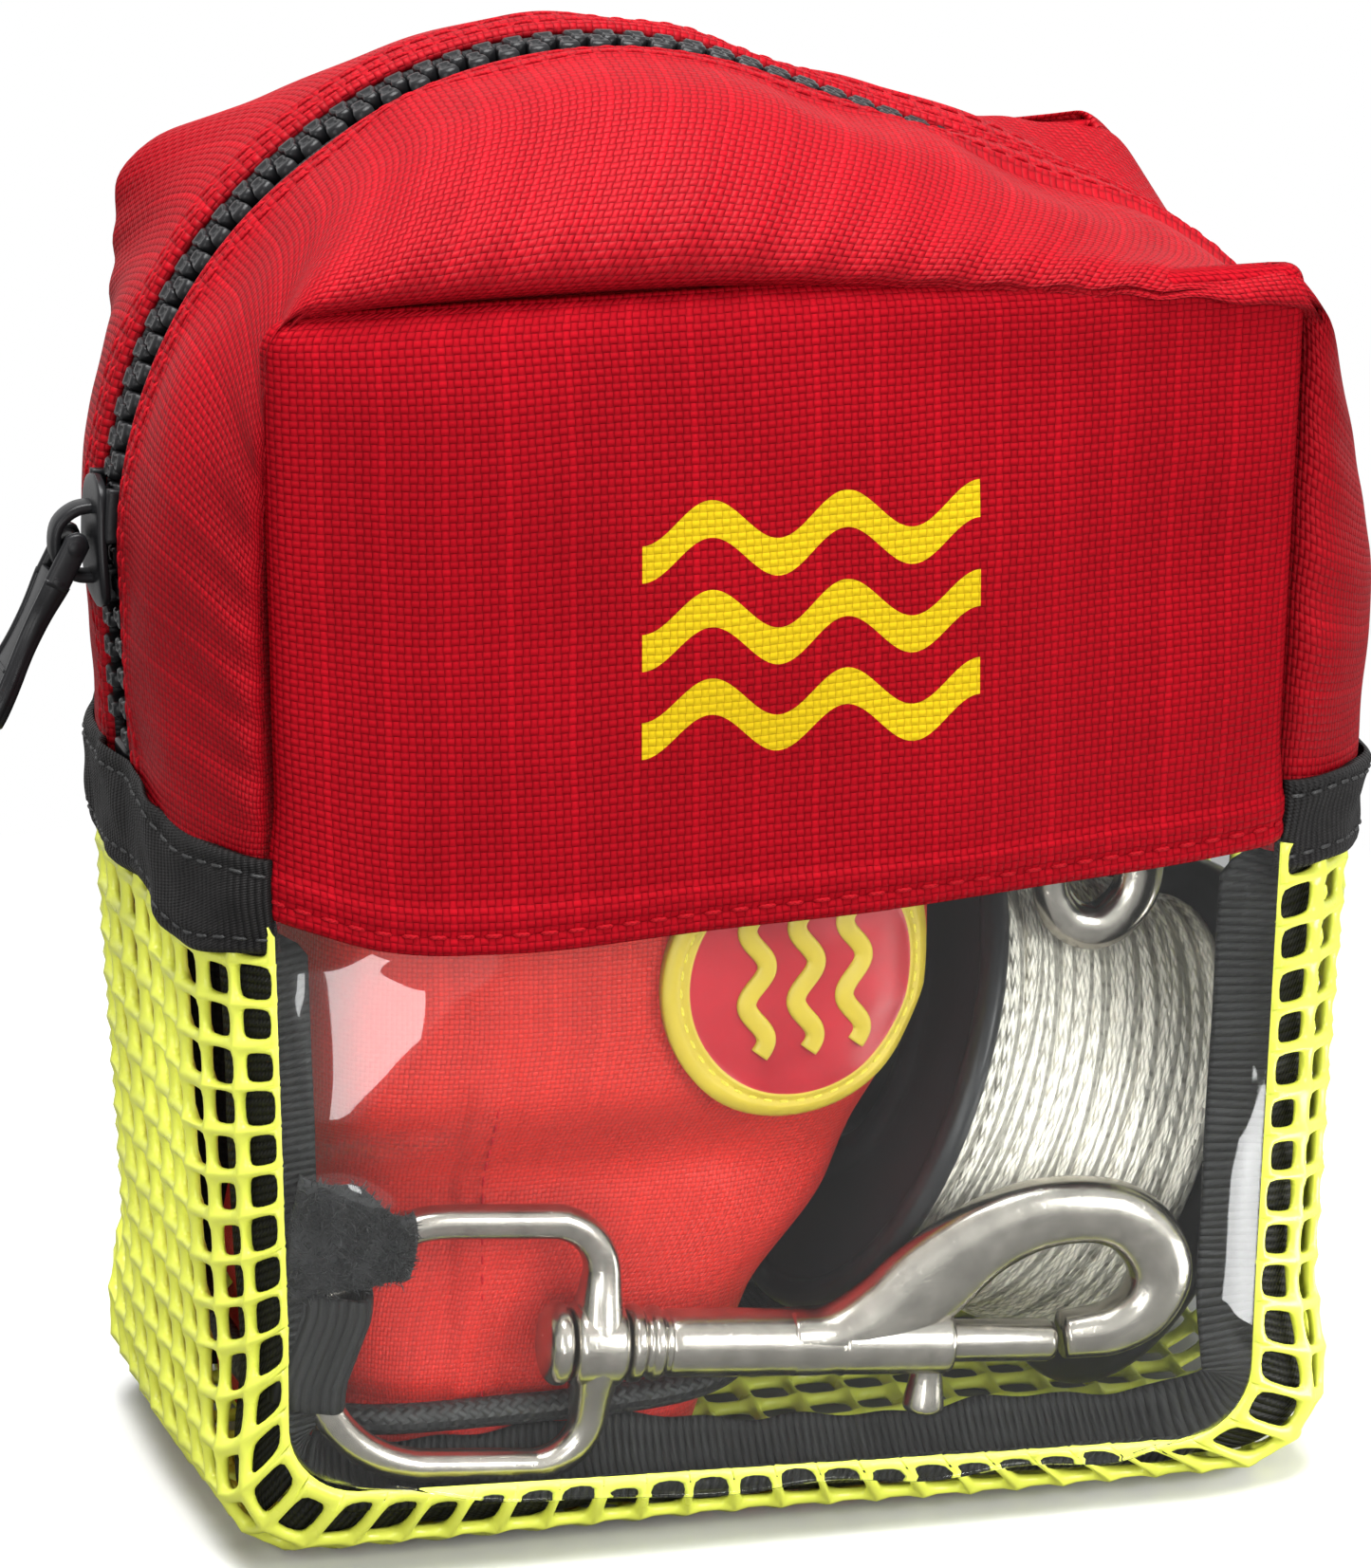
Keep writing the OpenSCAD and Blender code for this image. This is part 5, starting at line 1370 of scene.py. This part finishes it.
def make_buoy():
    """Rolled buoy: a flattened upright roll with a flap edge, a sewn seam beside it and soft creases."""
    sides, rings, seam_x = 260, 9, -34.6
    share = [np.linspace(0, 0.03, 6)[:-1], np.linspace(0.03, 0.97, 120), np.linspace(0.97, 1, 6)[1:]]
    levels = FLOOR_IN + BUOY_H * np.concatenate(share)
    t, z = np.meshgrid(np.arange(sides) / sides * TAU, levels, indexing="ij")
    end = np.minimum(z - FLOOR_IN, FLOOR_IN + BUOY_H - z)
    grow = -4 * (1 - np.sqrt(1 - np.clip(1 - end / 4, 0, 1) ** 2))
    base = buoy_point(t, z, grow)
    x, front = base[..., 0], soft((-np.sin(t) - 0.2) / 0.3)
    lift = 0.55 * ripple(x, z, 44, 91) + 0.28 * ripple(x, z, 17, 92) + 0.2 * ripple(base[..., 1], z, 30, 93)
    lift += front * (0.9 * soft((x + 38.2) / 0.5) - 0.5 * hump(x, -32.6, 0.7) - 0.35 * hump(x, -36.6, 0.6))
    lift += front * 0.5 * np.sin(z / 4.2 + 1.5 * np.sin(x / 11)) * hump(x, -8, 22) * hump(z, 44, 11)
    lift -= 1.6 * hump(z, ELASTIC_Z, 2.2)
    lift = np.minimum(lift * soft(end / 3), 0.9) - 0.5
    p = buoy_point(t, z, grow + lift)
    caps = []
    for edge in (p[:, 0], p[:, -1]):
        mid = edge.mean(0)
        caps.append(mid + (edge[:, None] - mid) * np.linspace(0, 1, rings)[None, :, None])
    grid = np.concatenate([caps[0][:, :-1], p, caps[1][:, -2::-1]], 1)
    n, m = grid.shape[:2]
    girth = p[:, 60]
    u = run_length(np.concatenate([girth, girth[:1]]))[:-1]
    v = np.concatenate([np.arange(1 - rings, 0), z[0], z[0, -1] + np.arange(1, rings)])
    uv = np.stack(np.broadcast_arrays(u[:, None], v[None, :]), -1)
    roll = (grid.reshape(-1, 3), grid_faces(n, m, wrap_n=True), uv.reshape(-1, 2), 0)
    h = np.linspace(6, 130, 200)
    row = np.stack([seam_x + 0 * h, buoy_front_y(seam_x, h) - 0.15, h], -1)
    thread = stitch_row(row, -Y_AXIS, pitch=2.6, length=1.9, radius=0.2)
    return piece("buoy_cloth", [roll, thread], [M_BUOY, M_THREAD_RED], "pouch", ["buoy_roll"])


def make_badge():
    """Round soft badge on the buoy: beaded yellow rim, stitched groove and red middle with wavy bars."""
    mid_x, mid_z, middle_r, groove_r, sides = 4.0, 72.0, 14.9, 16.1, 96
    rim_r = [14.8, 15.0, 15.2, 15.4, 15.8, 16.2, 16.6, 16.9, 17.3, 17.8, 18.2, 18.45, 18.5]
    r = np.concatenate([np.linspace(0, 14.4, 14), rim_r])

    def on_buoy(x, z, lift):
        return np.stack([x, buoy_front_y(x, z) - lift, z], -1)

    rr, tt = np.meshgrid(r, np.arange(sides) / sides * TAU, indexing="ij")
    x, z = mid_x + rr * np.cos(tt), mid_z + rr * np.sin(tt)
    bead = np.sqrt(np.clip(1 - ((rr - 17.3) / 1.25) ** 2, 0, 1))
    high = 1.7 + 0.75 * bead + 0.3 * hump(rr, 15.4, 0.35) - 0.25 * hump(rr, groove_r, 0.3)
    k = rr.size
    disc_faces = grid_faces(len(r), sides, wrap_m=True)
    edge = (len(r) - 1) * sides + np.arange(sides)
    rim = np.stack([edge, np.roll(edge, -1), np.roll(edge, -1) + k, edge + k], -1)
    yellow = (r[disc_faces[:, 0] // sides] > middle_r).astype(int)
    number = np.concatenate([yellow, yellow, np.ones(sides, int)])
    pts = np.concatenate([on_buoy(x, z, lift).reshape(-1, 3) for lift in (high, 0.1)])
    uv = np.concatenate([np.stack([rr * tt, rr], -1).reshape(-1, 2)] * 2)
    disc = (pts, np.concatenate([disc_faces, disc_faces[:, ::-1] + k, rim]), uv, number)
    a = np.linspace(0, TAU, 200)
    groove = on_buoy(mid_x + groove_r * np.cos(a), mid_z + groove_r * np.sin(a), 1.72)
    parts = [disc, stitch_row(groove, -Y_AXIS, pitch=2.3, length=1.7, radius=0.22, mat=2)]
    for off in (-6.4, 0.0, 6.4):
        q = np.linspace(-9.0, 9.0, 60)
        bar = on_buoy(mid_x + off + 1.3 * np.sin(q * TAU / 9.5), mid_z + q, 1.75)
        parts.append(flat_loft(bar, 1.25, 0.55, sides=14, power=3, mat=1))
    mats = [M_BADGE, M_YELLOW, M_THREAD_YELLOW]
    return piece("buoy_badge_pvc", parts, mats, "pouch", ["buoy_badge"])


def make_elastic():
    """Elastic round the buoy's foot: a closed loop of cord."""
    steps, radius, away = 220, 1.9, 2.3
    t = np.arange(steps) / steps * TAU
    path = buoy_point(t, np.full(steps, ELASTIC_Z), away)
    path[:, 2] += 0.8 * np.sin(t + 1.0)
    across = np.cross(tangents(path, closed=True), Z_AXIS)
    cord = loft(path, across, Z_AXIS, radius, radius, sides=16, closed=True)
    return piece("elastic_braid", [cord], M_ELASTIC, "pouch", ["elastic_cord"])


def make_spool():
    """Finger spool: two flanges with rolled rims and stepped faces on a hollow hub."""
    half = [
        (0, HUB_R), (18.1, HUB_R), (18.1, 32.6), (18.6, 34.4), (19.8, 35.0), (21.0, 34.4), (SPOOL_HALF, 33.0),
        (21.3, 31.6), (20.6, 31.0), (20.6, 17.6), (21.2, 16.6), (SPOOL_HALF, 15.4), (21.2, 12.9),
        (20.2, 12.0), (0, 12.0),
    ]
    half = rounded(half, 0.5, 4)
    line = np.concatenate([half, (half * [-1, 1])[-2:0:-1]])
    part = moved(lathe(line, sides=112, closed=True), SPOOL_TURN, SPOOL_AT)
    return piece("finger_spool", [part], M_SPOOL, "spool", ["spool"])


def make_line():
    """Wound line: even turns side by side, then looser turns that cross them, over a filled core.

    Each layer has its turns, radius, sweeps across the spool, wander and starting angle.
    """
    w, lip, core_r = 17.0, 0.9, 27.2
    layers = ((19, 27.5, 1.0, 0.15, 0.4), (19, 28.1, 1.0, 0.3, 0.8), (15, 28.6, 3.0, 0.7, 1.2))
    parts = []
    for turns, r0, sweep, wild, start in layers:
        t = np.linspace(0, 1, turns * 56)
        a = t * turns * TAU + start
        saw = np.abs(((t * sweep) % 2) - 1) * 2 - 1
        x = w * saw * 0.955 + wild * np.sin(a * 0.37 + 1.3) + 0.3 * wild * np.sin(a * 1.7)
        r = r0 + 0.22 * np.sin(a * 0.61) + 0.12 * np.sin(a * 2.3) - 0.7 * (x / w) ** 4
        x = np.clip(x, -w + 0.05, w - 0.05)
        out = np.stack([0 * a, np.cos(a), np.sin(a)], -1)
        path = x[:, None] * X_AXIS + out * r[:, None]
        parts.append(loft(path, out, np.cross(tangents(path), out), 0.95, 1.2, sides=10))
    base, edge = HUB_R + 0.05, w + lip
    core = [(-edge, base), (-edge, core_r - 1), (-w, core_r), (w, core_r), (edge, core_r - 1), (edge, base)]
    parts.append(lathe(core + core[:1], sides=96))
    parts = [moved(p, SPOOL_TURN, SPOOL_AT) for p in parts]
    return piece("wound_line", parts, M_LINE, "spool", ["line_pack"])


def make_thread_end():
    """A loose end of sewing thread at the left band."""
    q = smooth_path([(-69.8, 12.0, 84.0), (-71.4, 10.5, 81.5), (-72.0, 9.6, 78.0), (-71.8, 9.9, 75.0)], 40)
    along, radius = tangents(q), 0.22
    side = unit(np.cross(along, Y_AXIS))
    cord = loft(q, side, np.cross(along, side), radius, radius, sides=8)
    return piece("thread_end", [cord], M_THREAD_RED, "pouch")


# Every piece, made once
front_cloth = make_front()
back_cloth = make_back()
gusset_front, gusset_back = make_gusset(-1), make_gusset(1)
band_left, band_right = make_band(0), make_band(2)
net = make_net()
film = make_film()
tape_front, tape_back = make_tape(-1), make_tape(1)
make_teeth(-1)
make_teeth(1)
zip_tapes = make_ziptape(-1), make_ziptape(1)
make_stop(ZIP_FROM - 3, "zip_stop_block_left", "zip_stop_left")
make_stop(ZIP_TO + 3, "zip_stop_block_right", "zip_stop_right")
make_slider()
make_pull()
make_eye()
make_snap()
make_gate()
make_clip()
make_clip_gate(False, "double_gate_steel_upper", "double_gate_upper")
make_clip_gate(True, "double_gate_steel_lower", "double_gate_lower")
strap = make_strap()
pile = make_pile()
buoy = make_buoy()
make_badge()
make_elastic()
make_spool()
make_line()
make_thread_end()

for node in ("snap_spring", "double_spring_upper", "double_spring_lower"):
    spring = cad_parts[node]
    spring.data.materials.clear()
    spring.data.materials.append(M_SPRING)


# Stage, lights and camera
def lamp(name, at, toward, size, power):
    """Square soft lamp at a point in metres, aimed at another."""
    light = bpy.data.lights.new(name, "AREA")
    light.shape = "RECTANGLE"
    light.size, light.size_y = size
    light.energy = power
    obj = bpy.data.objects.new(name, light)
    bpy.context.scene.collection.objects.link(obj)
    obj.location = at
    obj.rotation_mode = "QUATERNION"
    obj.rotation_quaternion = (Vector(toward) - Vector(at)).to_track_quat("-Z", "Y")
    return obj


def make_floor():
    """Wide floor under the pouch: pale near it, with its shadow, and the white of the background farther off.

    Mirrored and bounced rays meet a darker floor close to the pouch, which keeps depth in steel and film.
    """
    n, reach, level = 24, 6.0, -0.0012
    q = reach * squarish(np.linspace(-1, 1, n), 2)
    x, y = np.meshgrid(q, q, indexing="ij")
    pts = np.stack([x, y, 0 * x + level], -1).reshape(-1, 3)
    mesh = bpy.data.meshes.new("floor")
    mesh.from_pydata(pts.tolist(), [], grid_faces(n, n)[:, ::-1].tolist())
    mesh.update()
    floor = bpy.data.objects.new("floor", mesh)
    bpy.context.scene.collection.objects.link(floor)
    pale, dark = (0.92, 0.92, 0.92, 1), (0.2, 0.2, 0.2, 1)
    mat, tree, shader, _, place = material(
        "floor_white", Roughness=0.9, Base_Color=pale, Specular_IOR_Level=0.0
    )
    xyz = add(tree, "ShaderNodeSeparateXYZ", Vector=place)
    square = [calc(tree, "POWER", calc(tree, "ABSOLUTE", xyz.outputs[i]), 2.0) for i in (0, 1)]
    far = calc(tree, "SQRT", calc(tree, "ADD", *square))
    ray = tree.nodes.new("ShaderNodeLightPath").outputs
    seen = calc(tree, "MULTIPLY", ramp(tree, far, [(0.10, 0.0), (0.26, 1.0)]), ray["Is Camera Ray"])
    shown = calc(tree, "MAXIMUM", ray["Is Glossy Ray"], ray["Is Transmission Ray"])
    shown = calc(tree, "MULTIPLY", ramp(tree, far, [(0.4, 0.0), (0.8, 1.0)]), shown)
    glow = add(tree, "ShaderNodeEmission", Strength=1.0)
    dim = add(tree, "ShaderNodeBsdfDiffuse", Color=dark)
    bounced = calc(tree, "MAXIMUM", ray["Is Glossy Ray"], ray["Is Diffuse Ray"])
    near = mix_shaders(tree, bounced, shader, dim)
    mix = mix_shaders(tree, calc(tree, "MAXIMUM", seen, shown), near, glow)
    tree.links.new(mix.outputs[0], tree.nodes["Material Output"].inputs["Surface"])
    mesh.materials.append(mat)
    return floor


def make_world():
    """Soft light from all sides, with a white background for camera, mirrored and transmitted rays."""
    white, ambient = (1, 1, 1, 1), 0.2
    world = bpy.data.worlds.new("studio")
    bpy.context.scene.world = world
    world.use_nodes = True
    tree = world.node_tree
    last = tree.nodes["Background"]
    last.inputs["Color"].default_value = white
    last.inputs["Strength"].default_value = ambient
    seen = add(tree, "ShaderNodeBackground", Color=white, Strength=1.0)
    path = tree.nodes.new("ShaderNodeLightPath")
    for ray in ("Is Glossy Ray", "Is Transmission Ray", "Is Camera Ray"):
        last = mix_shaders(tree, path.outputs[ray], last, seen)
    tree.links.new(last.outputs[0], tree.nodes["World Output"].inputs["Surface"])


floor = make_floor()
make_world()
aim = (0.0, 0.0, 0.08)
lamps = [
    lamp("key_softbox", (0.72, -1.2, 0.58), aim, (0.6, 0.6), 12.4),
    lamp("fill_softbox", (-0.95, -1.0, 0.52), aim, (0.45, 0.7), 5.0),
    lamp("top_softbox", (-0.1, -0.1, 1.35), aim, (0.9, 0.9), 40.0),
    lamp("left_card", (-0.20, -0.58, 0.075), (-0.05, 0, 0.07), (0.18, 0.14), 0.65),
    lamp("right_card", (0.115, -0.057, 0.017), (0.058, -0.042, 0.036), (0.05, 0.032), 0.045),
]


def make_camera():
    """Camera at 1.28 m, turned 16 degrees to the left, 18 up and rolled 0.6, with a long lens."""
    az, el, roll = math.radians(-16), math.radians(18), math.radians(0.6)
    distance = 1280.0
    back = np.array([math.sin(az) * math.cos(el), -math.cos(az) * math.cos(el), math.sin(el)])
    right = unit(np.cross(Z_AXIS, back))
    up = np.cross(back, right)
    right, up = right * math.cos(roll) + up * math.sin(roll), up * math.cos(roll) - right * math.sin(roll)
    target = np.array([-1.2, 0.0, 84.0]) + 2.2 * up
    cam = bpy.data.cameras.new("camera")
    cam.lens, cam.sensor_width, cam.sensor_fit = 234.3, 36.0, "AUTO"
    cam.clip_start, cam.clip_end = 0.05, 60.0
    obj = bpy.data.objects.new("camera", cam)
    bpy.context.scene.collection.objects.link(obj)
    place = np.eye(4)
    place[:3] = np.column_stack([right, up, back, (target + distance * back) * MM])
    obj.matrix_world = Matrix(place.tolist())
    bpy.context.scene.camera = obj
    return obj


camera = make_camera()
bpy.context.scene.view_settings.view_transform = "Standard"
